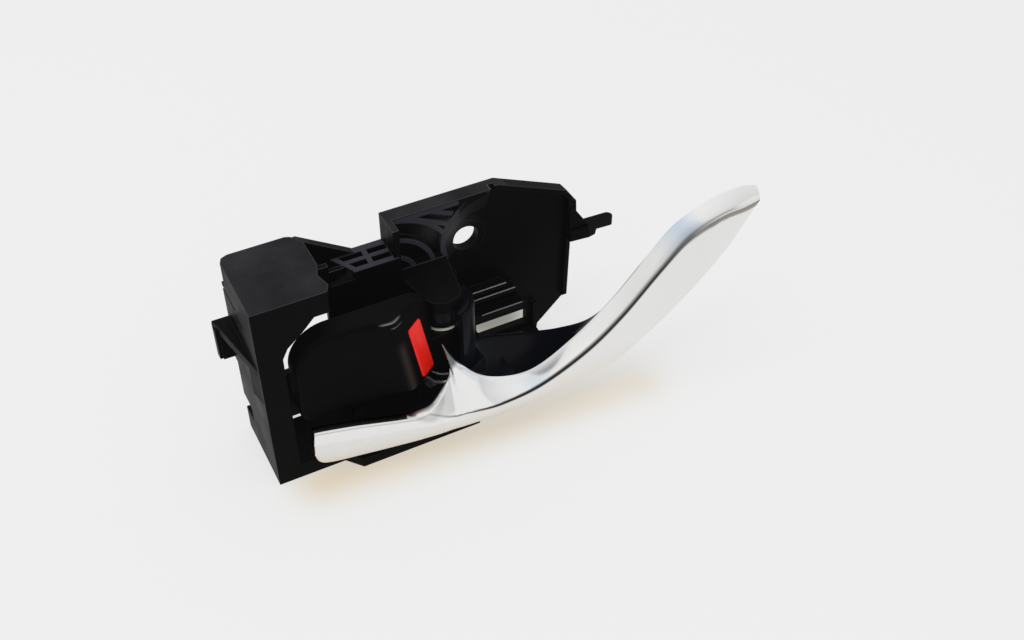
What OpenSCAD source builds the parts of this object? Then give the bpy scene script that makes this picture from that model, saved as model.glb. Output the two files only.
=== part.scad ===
// Car interior door handle: a black housing with a chrome pull lever and a lock knob on one upright pin.
// Modelled with the housing's front lower left corner at zero, then placed so that the frame's origin
// is the centre of the screw hole on the mounting face. X runs along the housing, +Y to the door, +Z up.

/* [Housing] */
// Height of the left block
housing_h = 63; // [58:0.5:70]
// Depth from the front face to the mounting face
housing_d = 25; // [23.5:0.5:30]
// Width of the left block
block_w = 21.5; // [20:0.5:24]
// Distance from the left side to the plate's right edge
plate_end = 102.5; // [98:0.5:112]
// How far the plate's top edge lies below the block's top
plate_drop = 1.5; // [1:0.1:5]
// How far the ribbed deck lies below the block's top
deck_drop = 10.5; // [8:0.1:13]
// Wall thickness of the moulding
wall = 2.2; // [1.6:0.1:3]
// Thickness of the stiffening ribs
rib_t = 1.4; // [1:0.1:2]
// How far the ribs stand out of the plate
rib_reach = 3.2; // [2:0.1:4]
// Height of the window's lower edge
window_low = 4.6; // [4:0.1:5.5]
// Height of the frame over the window
frame_h = 6.9; // [5.5:0.1:8]
// Distance from the left side to the window
window_left = 6.6; // [4:0.1:6.8]
// Thickness of the bottom plate
floor_t = 3.2; // [2.4:0.1:3.4]
// How far the bottom lip stands out under the lever
lip_reach = 4.5; // [3:0.1:5]

/* [Mounting] */
// Distance of the screw hole from the left side
screw_x = 68.5; // [67.5:0.5:70]
// Height of the screw hole
screw_z = 46; // [44:0.5:47]
// Diameter of the screw hole
screw_d = 8; // [5:0.1:9]
// Radius of the dished wall round the screw hole
dish_r = 14; // [12:0.5:15]
// Length of the locating tongue on the right
tongue_l = 14.5; // [8:0.5:20]
// Height of the locating tongue's lower face
tongue_z = 33.6; // [30:0.1:38]
// How far the ledge and hook stand out of the left side
hook_reach = 4; // [2:0.1:6]
// Height of the ledge's top face
hook_top = 43; // [38:0.5:46]

/* [Pivot] */
// Distance of the pin from the left side
pivot_x = 54; // [53.8:0.1:54.4]
// Distance of the pin behind the front face
pivot_y = 8; // [7.8:0.1:8.4]
// Diameter of the pin
pin_d = 5; // [4:0.1:5.4]
// Radial clearance where something turns on the pin
run_gap = 0.06; // [0.03:0.01:0.1]
// Wall of the bushes
bush_t = 1; // [0.6:0.1:1.2]
// Thickness of the thrust washers
washer_t = 0.8; // [0.5:0.1:1]
// End play between neighbours on the pin
end_gap = 0.3; // [0.1:0.05:0.4]
// Height of the lower hub's top face
hub_low_top = 15.6; // [15:0.1:16.4]
// Height of the knob sleeve's top face
sleeve_top = 32.6; // [31:0.1:33.6]
// Thickness of the lever's upper ear
ear_t = 5.6; // [4:0.1:6]
// Thickness of the housing's upper ear
bracket_t = 3.6; // [3:0.1:4.5]

/* [Lever] */
// Thickness of the chrome face
face_t = 2.2; // [1.6:0.1:2.6]
// Gap between chrome face and core
face_gap = 0.12; // [0.05:0.01:0.2]
// How far the lever turns when pulled, in degrees
lever_travel = 16; // [12:1:17]
// Diameter of the return spring's wire
wire_d = 1.2; // [0.8:0.1:1.3]

/* [Knob] */
// Gap between the knob and the window's top edge
knob_drop = 7.1; // [6:0.1:9]
// Height of the knob's lower edge
knob_low = 21.2; // [20.8:0.1:23]
// Distance of the knob's left edge from the housing's left side
knob_left = 8.8; // [8.4:0.1:10]
// Distance of the knob's right edge from the housing's left side
knob_right = 48.6; // [48:0.1:49]
// Wall of the knob cap
knob_wall = 2; // [1.4:0.1:2.4]
// Lean of the knob's slanted side, in degrees
knob_lean = 9; // [0:1:12]
// Width of the red insert
red_w = 5.2; // [3:0.1:5.6]
// Length of the red insert
red_l = 19.5; // [12:0.5:20]
// How far the knob turns when it is pushed in, in degrees
knob_travel = 11; // [6:0.5:11]

/* [Hidden] */
$fn = 64;

black = [0.07, 0.07, 0.075];
chrome = [0.86, 0.87, 0.88];
steel = [0.62, 0.63, 0.65];
nylon = [0.88, 0.87, 0.82];
rubber = [0.12, 0.12, 0.12];

over = 1;                                   // how far a cutter runs past what it cuts
plate_top = housing_h - plate_drop;
deck_h = housing_h - deck_drop;
window_top = housing_h - frame_h;
knob_top = window_top - knob_drop;
dish_spot = [screw_x + 6.5, screw_z + 0.5]; // centre of the dished wall's arc
pin_r = pin_d / 2;
bore_r = pin_r + run_gap;
bush_r = bore_r + bush_t;
plate_front = housing_d - wall;             // front face of the plate's web
rib_front = plate_front - rib_reach + 0.8;  // front edges of the rib field
hub_low = floor_t + end_gap;                // lower hub's underside
sleeve_low = hub_low_top + end_gap + washer_t + end_gap;
ear_low = sleeve_top + end_gap + washer_t + end_gap;
ear_top = ear_low + ear_t;
bracket_low = ear_top + end_gap;
bracket_top = bracket_low + bracket_t;
clip_room = 1.3;                            // depth of the clip's room under the bottom plate
deck_front = 15.5;                          // front wall of the ribbed deck
mid_left = 24.5;                            // left end of the middle wall
plate_left = 44.5;                          // left end of the plate
rib_field_low = 40.6;
hub_r = 8;
ear_r = bush_r + 1.7;
bracket_r = 5.6;
sleeve_r = 5.4;
spring_r = 6.3;
knob_rear = 5;
knob_corner = 11;                           // radius of the knob's upper left corner
pin_cap = 1.2;                              // closed top of the upper ear over the pin
pad_gap = 0.3;                              // between a rubber pad and what comes to rest on it

// Everything is modelled from the block's corner and placed here.
module place() {
    translate([-screw_x, -housing_d, -screw_z]) children();
}

// A 2D outline in X and Z, given thickness from y0 to y1.
module upright(y0, y1) {
    translate([0, y1, 0]) rotate([90, 0, 0]) linear_extrude(y1 - y0) children();
}

// A block between two corners.
module block(a, b) {
    translate(a) cube(b - a);
}

// A straight rib of thickness t between two points of a 2D outline.
module bar(a, b, t) {
    d = b - a;
    translate(a) rotate(atan2(d[1], d[0])) translate([-t / 2, -t / 2]) square([norm(d) + t, t]);
}

// A curved rib: part of a ring round a centre.
module arc_bar(c, r, t, from, to) {
    steps = 14;
    pts = [for (i = [0:steps]) let (a = from + (to - from) * i / steps) [cos(a), sin(a)]];
    translate(c) polygon(concat(
        [for (p = pts) p * (r + t / 2)],
        [for (i = [steps:-1:0]) pts[i] * (r - t / 2)]));
}

module pin_axis(z = 0) {
    translate([pivot_x, pivot_y, z]) children();
}

// Housing

module plate_outline() {
    polygon([[plate_left, 0], [plate_end - 10.5, 0], [plate_end - 10, 2.6], [plate_end - 0.8, 11.6],
             [plate_end, screw_z - 0.5], [plate_end, screw_z + 3], [plate_end - 2.3, screw_z + 6],
             [78.6, plate_top], [plate_left, plate_top]]);
}

module rib_field_outline() {
    polygon([[plate_left, rib_field_low], [58.6, rib_field_low],
             dish_spot + [0.2 - dish_r, 0.5], dish_spot + [0.2 - dish_r, 4.5],
             [64.4, plate_top - 3.5], [76, plate_top], [plate_left, plate_top]]);
}

module rib_pattern() {
    corner = [plate_left, rib_field_low];
    arc_bar(corner, 8, rib_t, 0, 90);
    arc_bar(corner, 13.6, rib_t, 0, 90);
    arc_bar(corner, 20, rib_t, 20, 82);
    bar([50.5, plate_top - 1], [63, plate_top - 7.5], rib_t);
    bar([57, plate_top - 1], [66, plate_top - 5], rib_t);
    bar(corner + [0.8, 0], [plate_left + 0.8, plate_top], rib_t + 0.4);
    bar(corner + [0, 0.8], [58.8, rib_field_low + 0.8], rib_t + 0.2);
    bar([plate_left + 0.8, plate_top - 0.9], [78, plate_top - 0.9], 1.8);
    arc_bar(dish_spot, dish_r, rib_t + 0.6, 92, 196);
}

module screw_dish() {
    // Smooth wall that falls from the arc to the screw hole.
    translate([dish_spot[0], plate_front, dish_spot[1]]) rotate([90, 0, 0])
        rotate_extrude(angle = 112, start = 88)
            polygon(concat([[dish_r + 0.4, -0.2], [dish_r + 0.4, rib_reach - 0.8]],
                [for (i = [0:6]) let (a = 90 * i / 6)
                    [dish_r - 0.4 - 6 * sin(a), (rib_reach - 0.9) * (1 - sin(a))]],
                [[dish_r - 6.4, -0.2]]));
}

module right_plate() {
    upright(plate_front, housing_d) plate_outline();
    // Turned-in rim on the plate's right and upper right edges
    upright(plate_front - 1.4, plate_front + 0.5) difference() {
        plate_outline();
        offset(delta = -rib_t) plate_outline();
        translate([plate_left - over, -over]) square([34, plate_top + 2 * over]);
        square([plate_end, 12]);
    }
    upright(rib_front, plate_front + 0.5) intersection() {
        rib_pattern();
        rib_field_outline();
    }
    upright(rib_front, plate_front + 0.5)
        arc_bar(dish_spot, dish_r, rib_t, 92, 196);
    screw_dish();
    // Raised seat for the screw's head
    translate([screw_x, plate_front + 0.2, screw_z]) rotate([90, 0, 0])
        cylinder(r1 = screw_d / 2 + 3, r2 = screw_d / 2 + 2, h = 1);
    // Level ribs on the lower part of the plate
    for (r = [[64, 80, 26], [61, 83.5, 23], [61, 86, 16.2], [47, 60, 24.6], [47, 61.5, 20.2]])
        block([r[0], plate_front - rib_reach, r[2] - rib_t / 2],
              [r[1], plate_front + 0.5, r[2] + rib_t / 2]);
    // Upright ribs beside the low window
    for (x = [64.6, 90])
        block([x, plate_front - 1.6, wall], [x + rib_t, plate_front + 0.5, 13]);
}

module locating_tongue() {
    root = plate_end - 1;
    tip_r = 1.6;
    difference() {
        union() {
            translate([0, 0, tongue_z]) linear_extrude(3)
                polygon(concat([[root, housing_d - 5], [root, housing_d]],
                    [for (a = [80:-20:-80]) [plate_end + tongue_l - tip_r + tip_r * cos(a),
                                             housing_d - 2.3 + tip_r * sin(a)]],
                    [[plate_end + 5, housing_d - 5.6]]));
            // Gusset over the tongue
            upright(housing_d - 4.2, housing_d - 2.6)
                polygon([[root, tongue_z + 2], [plate_end + 6.5, tongue_z + 2], [plate_end + 1, hook_top + 1],
                         [root, hook_top + 1]]);
            upright(housing_d - 1.6, housing_d)
                polygon([[root, tongue_z - 2], [plate_end + 3, tongue_z + 1], [plate_end + 2.4, hook_top + 2.5],
                         [root, hook_top + 5]]);
        }
        // Sloping underside of the tip
        translate([plate_end + tongue_l, housing_d - 8, tongue_z]) rotate([0, 14, 0])
            translate([-7, 0, -3]) cube([10, 10, 3]);
    }
}

module side_ledge() {
    // Ledge that widens to the back and ends in a down-turned hook
    difference() {
        translate([0, 0, hook_top - 12]) linear_extrude(12)
            polygon([[0.5, 1], [0, 1], [-hook_reach, housing_d - 2.4], [-hook_reach - 0.8, housing_d],
                     [0.5, housing_d]]);
        translate([-hook_reach - 2, -over, hook_top - 12 - over]) cube([hook_reach + 1, housing_d - 2, 9.4 + over]);
        translate([-hook_reach - 2, housing_d, hook_top - 1.6]) rotate([0, -40, 0]) translate([-4, -10, 0])
            cube([6, 12, 6]);
    }
    block([-hook_reach - 0.8, housing_d - 2.4, hook_top - 12], [-hook_reach + 1, housing_d, hook_top - 2]);
}

// The block's top, with the step on its right side and round rear corners
module top_outline() {
    r = 2.6;
    polygon([[0, 0], [block_w - 1.2, 0], [block_w, 2.4], [block_w - 1.1, 6.9], [block_w + 0.3, 10.9],
             [block_w + 0.3, housing_d - 4], [block_w - 2, housing_d - 0.6], [block_w - 3.4, housing_d],
             [r, housing_d], [r * 0.3, housing_d - r * 0.3], [0, housing_d - r]]);
}

module left_block() {
    difference() {
        union() {
            // Left side
            block([0, 0, 0], [wall, housing_d, housing_h - 8]);
            intersection() {
                block([0, 0, housing_h - 9], [wall, housing_d, housing_h]);
                translate([0, 0, housing_h - 10]) linear_extrude(10) top_outline();
            }
            // Top plate
            translate([0, 0, housing_h - wall]) linear_extrude(wall) top_outline();
            // Front frame round the window, with its filled upper left corner
            upright(0, wall) polygon([[0, 0], [window_left, 0], [window_left, window_top - 10.6],
                [window_left + 1.6, window_top - 7.5], [window_left + 6.1, window_top - 3.6],
                [window_left + 9.5, window_top], [block_w - 1.2, window_top], [block_w - 1.2, housing_h], [0, housing_h]]);
            block([0, 0, 0], [block_w - 2, wall, window_low]);
            // Right side above the knob
            block([block_w - wall - 1.3, 0, window_top], [block_w - 1.3, housing_d - 3, housing_h]);
            // Header and low wall at the open back
            block([1, housing_d - wall, housing_h - 7], [block_w - 3.4, housing_d - 0.7, housing_h - 1]);
            block([0, housing_d - wall, 0], [mid_left + 1, housing_d, 17]);
            // Inner stiffening rib under the top
            block([10.5, 0, window_top], [10.5 + rib_t, housing_d - 0.7, housing_h]);
        }
        // Notch in the left side where the lower cable leaves, open to the back
        block([-over, housing_d - 6.5, 8], [wall + over, housing_d + over, 13.4]);
        // Slim level slots in the left side
        block([-over, housing_d - 10.6, housing_h - 10.4], [wall + over, housing_d + over, housing_h - 9.2]);
        block([-over, housing_d - 15.4, housing_h - 12.8], [wall + over, housing_d - 9.6, housing_h - 11.6]);
    }
}

module middle_deck() {
    // Rear wall whose top edge slopes down from the block
    upright(housing_d - wall, housing_d)
        polygon([[block_w - 3, deck_h - 9], [plate_left + 2, rib_field_low], [plate_left + 2, deck_h],
                 [36, deck_h], [block_w - 0.5, housing_h - 0.8], [block_w - 3, housing_h - 0.8]]);
    // Ribbed cells open to the top
    translate([0, 0, rib_field_low]) linear_extrude(deck_h - rib_field_low) {
        bar([33.6, deck_front + 0.8], [plate_left + 1, deck_front + 0.8], 1.6);
        bar([29.4, housing_d - 0.9], [33.6, deck_front + 0.8], rib_t);
        bar([31.8, 20], [plate_left + 1, 20], rib_t);
        bar([38.4, deck_front + 1], [38.4, housing_d - 1], rib_t);
    }
    translate([0, 0, rib_field_low]) linear_extrude(2)
        polygon([[29, housing_d], [33.4, deck_front], [plate_left + 2, deck_front], [plate_left + 2, housing_d]]);
    // Slanted cross rib between block and deck
    block([block_w - 1, housing_d - 6, deck_h - 3], [31.5, housing_d - 4.6, deck_h - 0.6]);
    // Front wall of the deck, drawn out to the left up to the block
    block([mid_left + 0.8, deck_front, rib_field_low - 1], [34.4, deck_front + 1.6, deck_h - 2.6]);
    block([block_w - 3.1, deck_front, deck_h - 10.5], [mid_left + 1.4, deck_front + 1.6, window_top + 1]);
    // Middle wall behind the knob
    block([mid_left, deck_front, 0], [plate_left + 1.6, deck_front + 1.6, rib_field_low + 1]);
    // Left side of the plate, down to the bottom
    block([plate_left, deck_front, 0], [plate_left + 1.8, housing_d, plate_top]);
    block([mid_left, deck_front, 0], [mid_left + rib_t, housing_d - 6, floor_t + 5]);
}

module bottom_plate() {
    nose = 5;
    linear_extrude(floor_t) difference() {
        polygon([[0, 0], [block_w - 2.2, 0], [block_w + 1.6, -lip_reach], [pivot_x + nose, -lip_reach],
                 [pivot_x + 11, 2], [pivot_x + 11, housing_d - 8], [pivot_x + 16, housing_d], [0, housing_d]]);
        // Open field behind the knob's space
        translate([wall + 4, deck_front + 3.4]) square([mid_left - wall - 6, 20]);
        translate([mid_left + 4, deck_front + 3.4]) square([plate_left - mid_left - 6, 4.5]);
    }
    // Foot behind the plate's lower edge
    block([pivot_x + 10, plate_front - 3.4, 0], [plate_end - 11, housing_d, wall]);
}

module upper_ear() {
    translate([0, 0, bracket_low]) linear_extrude(bracket_t) {
        translate([pivot_x, pivot_y]) circle(r = bracket_r);
        polygon([[pivot_x - bracket_r, pivot_y], [pivot_x + bracket_r, pivot_y],
                 [pivot_x + 8.2, housing_d - 1], [plate_left + 1, housing_d - 1]]);
    }
    // Web under the ear, beside the knob's sleeve
    block([pivot_x + 7.6, plate_front - 6, bracket_low - 8], [pivot_x + 7.6 + rib_t, plate_front + 0.5, bracket_low]);
}

// Pad or post: w wide, from depth y0 to y1, starting at a spot's side.
module pad_block(spot, margin, y0, y1, z0, z1) {
    block([spot[0] - margin, y0, z0 - margin], [spot[0] + pad_w + margin, y1, z1 + margin]);
}

module pad_posts() {
    pad_block(rest_spot, 0.5, rest_spot[1] + pad_t, plate_front + 0.5, 8.4, 10.6);
    pad_block(stop_spot, 0.5, stop_spot[1] + pad_t, deck_front + 0.5, 7.6, 12.8);
    pad_block(knob_spot, 0.5, knob_spot[1] + pad_t, deck_front + 0.5, 26.6, 30.4);
}

module housing() {
    color(black) difference() {
        union() {
            left_block();
            middle_deck();
            right_plate();
            locating_tongue();
            side_ledge();
            bottom_plate();
            upper_ear();
            pad_posts();
        }
        // Screw hole
        translate([screw_x, housing_d + over, screw_z]) rotate([90, 0, 0])
            cylinder(d = screw_d, h = housing_d);
        // Low window in the plate
        block([71.5, housing_d - 10, 4.8], [88.5, housing_d + over, 10.4]);
        // Pin hole from below, closed at the top, with room for the clip
        pin_axis(-over) cylinder(r = pin_r + 0.02, h = bracket_top - pin_cap + over);
        pin_axis(-over) cylinder(r = pin_r + 2.1, h = over + clip_room);
    }
}

// Pin and what sits on it

module pivot_pin() {
    top = bracket_top - pin_cap - 0.1;
    color(steel) pin_axis() {
        translate([0, 0, 0.2]) cylinder(r1 = pin_r - 0.4, r2 = pin_r, h = 0.4);
        translate([0, 0, 0.6]) cylinder(r = pin_r, h = top - 1.2);
        translate([0, 0, top - 0.6]) cylinder(r1 = pin_r, r2 = pin_r - 0.6, h = 0.6);
    }
}

module pin_clip() {
    // Push-on clip with its turned-down tongues, in the room under the bottom plate
    color(steel) pin_axis(clip_room - 0.02) mirror([0, 0, 1]) difference() {
        union() {
            cylinder(r = pin_r + 1.9, h = 0.5);
            cylinder(r = pin_r + 0.9, h = 1.1);
        }
        translate([0, 0, -over]) cylinder(r = pin_r + 0.01, h = 4);
        for (a = [0:60:300]) rotate(a) translate([pin_r - 0.2, -0.3, 0.5]) cube([2, 0.6, 2]);
    }
}

module bush(z, h) {
    pin_axis(z) difference() {
        cylinder(r = bush_r, h = h);
        translate([0, 0, -over]) cylinder(r = bore_r, h = h + 2 * over);
    }
}

module lever_bush_lower() { color("peru") bush(hub_low, hub_low_top - hub_low); }

module lever_bush_upper() { color("peru") bush(ear_low, ear_t); }

module washer(z) {
    pin_axis(z) difference() {
        cylinder(r = sleeve_r - 0.4, h = washer_t);
        translate([0, 0, -over]) cylinder(r = bore_r, h = washer_t + 2 * over);
    }
}

module thrust_washer_lower() { color(nylon) washer(hub_low_top + end_gap); }

module thrust_washer_upper() { color(nylon) washer(sleeve_top + end_gap); }

// A tube of radius r swept along points, as one closed solid.
function unit(v) = v / norm(v);

function ring_at(pts, i, r, sides) =
    let (n = len(pts) - 1,
         t = unit(pts[min(i + 1, n)] - pts[max(i - 1, 0)]),
         side = unit(cross(t, abs(t[2]) > 0.9 ? [1, 0, 0] : [0, 0, 1])),
         up = cross(side, t))
    [for (k = [0:sides - 1]) let (a = 360 * k / sides) pts[i] + r * (cos(a) * side + sin(a) * up)];

module swept_wire(pts, r, sides = 8) {
    n = len(pts);
    verts = [for (i = [0:n - 1]) each ring_at(pts, i, r, sides)];
    polyhedron(verts, concat(
        [[for (k = [sides - 1:-1:0]) k]],
        [[for (k = [0:sides - 1]) (n - 1) * sides + k]],
        [for (i = [0:n - 2]) for (k = [0:sides - 1]) let (k2 = (k + 1) % sides)
            each [[i * sides + k, i * sides + k2, (i + 1) * sides + k],
                  [i * sides + k2, (i + 1) * sides + k2, (i + 1) * sides + k]]]), convexity = 8);
}

spring_low = 10.2;
spring_turns = 3;
coil_steps = 14;
spring_pitch = (hub_low_top - spring_low - wire_d) / spring_turns;
spring_hole = 2.4;                          // how deep the spring's end sits in the hub, below the coil

module lever_return_spring() {
    // Coil round the hub: its lower end sits in a hole of the hub, its upper leg lies on the middle wall
    coil = [for (i = [0:spring_turns * coil_steps])
        let (a = 90 + 360 * i / coil_steps)
        [spring_r * cos(a), spring_r * sin(a), spring_low + wire_d / 2 + spring_pitch * i / coil_steps]];
    end = coil[len(coil) - 1];
    wall_y = deck_front - pivot_y - wire_d / 2 - 0.02;
    pts = concat([coil[0] + [0, 0, -spring_hole]], coil,
        [end + [-3, 0.1, 0], [plate_left - pivot_x + 0.5, wall_y, end[2]], [plate_left - pivot_x - 7, wall_y, end[2]]]);
    color(steel) pin_axis() swept_wire(pts, wire_d / 2);
}

module knob_detent_spring() {
    // Bent steel leaf with a rounded nose that rests on the knob carrier's lobe
    z = 27.4;
    color(steel) translate([0, 0, z]) linear_extrude(3.4)
        polygon([[46.6, plate_front - 0.05], [57.5, plate_front - 0.05], [57.5, plate_front - 0.45],
                 [49.4, plate_front - 0.5], [48.6, plate_front - 1.2], [48.8, plate_front - 3.9],
                 [48.2, plate_front - 4.3], [47.7, plate_front - 3.9], [47.5, plate_front - 1.2],
                 [46.6, plate_front - 0.9]]);
}

// Rubber buffers

module lever_rest_pad() {
    color(rubber) pad_block(rest_spot, 0, rest_spot[1], rest_spot[1] + pad_t, 8.4, 10.6);
}

module lever_stop_pad() {
    color(rubber) pad_block(stop_spot, 0, stop_spot[1], stop_spot[1] + pad_t, 7.6, 12.8);
}

module knob_rest_pad() {
    color(rubber) pad_block(knob_spot, 0, knob_spot[1], knob_spot[1] + pad_t, 26.6, 30.4);
}

// Lever: edge lines through hand-set points, joined by smooth curves.
// Each station is low edge, ridge and upper edge of the chrome face.
tail_keys = [
    [[9.8, -4.2, 11], [10, -4.6, 15.6], [10.5, -4.5, 20.2]],
    [[12.4, -4.6, 7.3], [13, -5.1, 15], [13.5, -4.9, 20]],
    [[24, -6.4, 6.9], [23, -6.9, 13.8], [22, -6.2, 19.1]],
    [[37, -8.2, 6.8], [36, -8.9, 12.6], [34.5, -7.9, 17.4]],
    [[44, -9.2, 7.2], [43.8, -10.1, 12.3], [43, -7.4, 19.2]],
    [[48.6, -9.7, 7.5], [49.6, -10.8, 13], [49.3, -6.8, 29]],
    [[51.5, -10, 7.5], [52.4, -11.1, 12.6], [47.5, -7, 39]]];
grip_keys = [
    [[51.5, -10, 7.5], [52.4, -11.1, 12.6], [47.5, -7, 39]],
    [[55, -10.2, 7.5], [55.4, -11.3, 12.1], [53.4, -6.5, 28]],
    [[62.5, -10.6, 7.5], [63, -11.9, 12.2], [62, -6, 19.3]],
    [[75, -10.8, 7.6], [75, -12.2, 15], [75, -5.6, 15.8]],
    [[90, -10.2, 8.7], [89.5, -11.6, 21.5], [88.5, -5.5, 22.4]],
    [[102, -9.7, 11.3], [101, -11.1, 30], [100, -5.4, 31.6]],
    [[115, -9.2, 19], [113, -10.7, 42.3], [111.5, -5.2, 43.6]],
    [[127, -8.7, 28.4], [121.5, -10.1, 49.5], [119.5, -5, 51.4]],
    [[137, -8.4, 38.6], [132, -9.5, 53], [130.5, -5.2, 56.4]],
    [[143, -8.1, 47], [140.5, -8.8, 53], [139.5, -5.6, 58]],
    [[146.2, -7.9, 52], [146, -8.2, 53.6], [145.5, -6, 57]]];
// Behind the grip, for its second station to the last but one: how far the rear edge of the arm's
// scooped top lies from the face's inner upper edge, and the arm's rear low edge from its inner low edge.
arm_reach = [
    [[9.8, 5.4, -3], [8.2, 7.7, -0.5]],
    [[3, 16.3, 3], [2.5, 19.3, -0.7]],
    [[2, 16.4, 2.5], [2, 20, -0.8]],
    [[2.5, 13.1, -5.8], [1, 14.9, -0.4]],
    [[1, 8.3, -10.1], [-0.5, 9.4, 0.5]],
    [[-1.5, 2.8, -5.5], [-3, 3.2, 5]],
    [[-1, 1.8, -2.6], [-3, 1.7, 4]],
    [[-0.8, 1.6, -1.8], [-2.4, 1.6, 3.6]],
    [[-0.5, 1.2, -1.2], [-1.4, 1.2, 2]]];
keys_per_span = 3;

// Smooth curve through key k to the next at fraction t, for column c of a key list.
function curve(keys, c, k, t) =
    let (n = len(keys) - 1,
         p0 = keys[max(k - 1, 0)][c], p1 = keys[k][c],
         p2 = keys[min(k + 1, n)][c], p3 = keys[min(k + 2, n)][c])
    0.5 * (2 * p1 + t * (p2 - p0) + t * t * (2 * p0 - 5 * p1 + 4 * p2 - p3)
           + t * t * t * (3 * p1 - p0 - 3 * p2 + p3));

// All columns from key first to key last, with keys_per_span steps between two keys.
function stations(keys, first, last) =
    [for (i = [0:(last - first) * keys_per_span])
        let (k = min(first + floor(i / keys_per_span), len(keys) - 2), t = first + i / keys_per_span - k)
        [for (c = [0:len(keys[0]) - 1]) curve(keys, c, k, t)]];

// 0 on the flat tail strip, 1 on the grip: how the face's wall turns from backwards to downwards.
function turn_in(x) = lookup(x, [[40, 0], [58, 1]]);

// Outer and inner points of the chrome face at one station, from low edge to upper edge.
function face_outer(s) =
    [s[0], s[1], s[1] * 0.4 + s[2] * 0.6 + [0, -0.9, 0.3], s[2]];

function face_inner(s, wall_t) =
    let (o = face_outer(s), w = turn_in(s[1][0]), t = min(wall_t, 0.3 * norm(o[3] - o[0])))
    [o[0] + [0, t, 0.5 * t], o[1] + [0, t, -0.3 * t * w],
     o[2] + [0, t * (1 - 0.3 * w), -0.7 * t * w], o[3] + [0, t * (1 - 0.7 * w), -t * w]];

// A closed loft through rings that all have the same number of points. Swap turns the diagonals of
// its side faces, so that two lofts that run along each other from opposite sides fold the same way.
module loft(rings, cap, swap = false) {
    n = len(rings);
    m = len(rings[0]);
    polyhedron([for (r = rings) each r], concat(
        [for (f = cap) [for (i = [len(f) - 1:-1:0]) f[i]]],
        [for (f = cap) [for (k = f) (n - 1) * m + k]],
        [for (i = [0:n - 2]) for (k = [0:m - 1])
            let (k2 = (k + 1) % m, a = i * m + k, b = i * m + k2, c = (i + 1) * m + k, d = (i + 1) * m + k2)
            each swap ? [[a, b, d], [a, d, c]] : [[a, b, c], [b, d, c]]]), convexity = 10);
}

tail_end = len(tail_keys) - 1;
grip_end = len(grip_keys) - 1;
tail_stations = stations(tail_keys, 0, tail_end);
grip_stations = stations(grip_keys, 0, grip_end);
face_stations = concat(tail_stations, [for (i = [1:len(grip_stations) - 1]) grip_stations[i]]);

module pull_lever() {
    rings = [for (s = face_stations) let (i = face_inner(s, face_t))
        concat(face_outer(s), [i[3], i[2], i[1], i[0]])];
    color(chrome) difference() {
        loft(rings, [[0, 1, 7], [1, 6, 7], [1, 2, 6], [2, 5, 6], [2, 3, 5], [3, 4, 5]], swap = true);
        screw_places() cylinder(r = 0.9, h = 3.4);
    }
}

// Rear side of the grip, where the two screws go in from the back.
screw_seat = 3.6;                           // from a screw's tip to the seat of its head
module screw_places() {
    for (p = [[118.6, 41.5], [131.6, 50]])
        translate([p[0], -8.9, p[1]]) rotate([-90, 0, 0]) children();
}

// Section of the arm at step i: the face's inner points, then the scooped top and the rear.
arm_face = stations(grip_keys, 1, grip_end - 1);
arm_rear = stations(arm_reach, 0, grip_end - 2);
function arm_ring(i) =
    let (f = face_inner(arm_face[i], face_t + face_gap), top = f[3] + arm_rear[i][0], low = f[0] + arm_rear[i][1],
         scoop = (f[3] + top) / 2 - [0, 0, min(1.6, norm(f[3] - top) / 8)])
    [f[0], f[1], f[2], f[3], scoop, top, low];

module lever_arm() {
    loft([for (i = [0:len(arm_face) - 1]) arm_ring(i)], [[0, 1, 6], [1, 5, 6], [1, 2, 5], [2, 4, 5], [2, 3, 4]]);
}

// Part of a drum round the pin, on the side away from the knob.
drum_from = -75;
drum_angle = 95;

module drum_sector(z0, z1, r0, r1) {
    reach = 3 * r1;
    open_side = [for (i = [0:4]) let (a = drum_from + drum_angle + (360 - drum_angle) * i / 4)
        [reach * cos(a), reach * sin(a)]];
    pin_axis(z0) difference() {
        cylinder(r = r1, h = z1 - z0);
        translate([0, 0, -over]) cylinder(r = r0, h = z1 - z0 + 2 * over);
        translate([0, 0, -over]) linear_extrude(z1 - z0 + 2 * over) polygon(concat([[0, 0]], open_side));
    }
}

// Flat arm behind the chrome tail, which leaves the hub under the knob.
backing_front = [[12, -1.6], [24, -3.6], [37, -5.4], [47, -6.8]];
backing_rear = [[12, 1.2], [24, -0.8], [37, -2.6], [48, 3]];

// Where a point of a moving piece comes to when it has turned by a degrees about the pin.
function turned(p, a) =
    let (x = p[0] - pivot_x, y = p[1] - pivot_y)
    [pivot_x + x * cos(a) - y * sin(a), pivot_y + x * sin(a) + y * cos(a)];

// Front left corners of the three rubber pads, each pad_gap behind what meets it.
stop_spot = turned([27, backing_rear[1][1] + (backing_rear[2][1] - backing_rear[1][1]) * 3 / 13], -lever_travel)
    + [0, pad_gap];
knob_spot = turned([28, knob_rear], -knob_travel) + [0, pad_gap];
rest_spot = let (r = arm_ring(4)) [r[6][0] - 2, max(r[5][1], r[6][1]) + pad_gap];
pad_t = 1.6;
pad_w = 3.6;

module tail_backing() {
    translate([0, 0, hub_low + 3.4]) linear_extrude(6.6)
        polygon(concat(backing_front, [[pivot_x, -6.8], [pivot_x, pivot_y - 5]],
                       [for (i = [3:-1:0]) backing_rear[i]]));
}

// Solid root that joins hub, drum and tail to the arm, inside the arm's height.
module arm_root() {
    translate([0, 0, 9.2]) linear_extrude(5)
        polygon([[48, -6.8], [58, -5], [71, -4], [71, 8], [60, 12], [54, 12], [48, -3]]);
}

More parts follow.
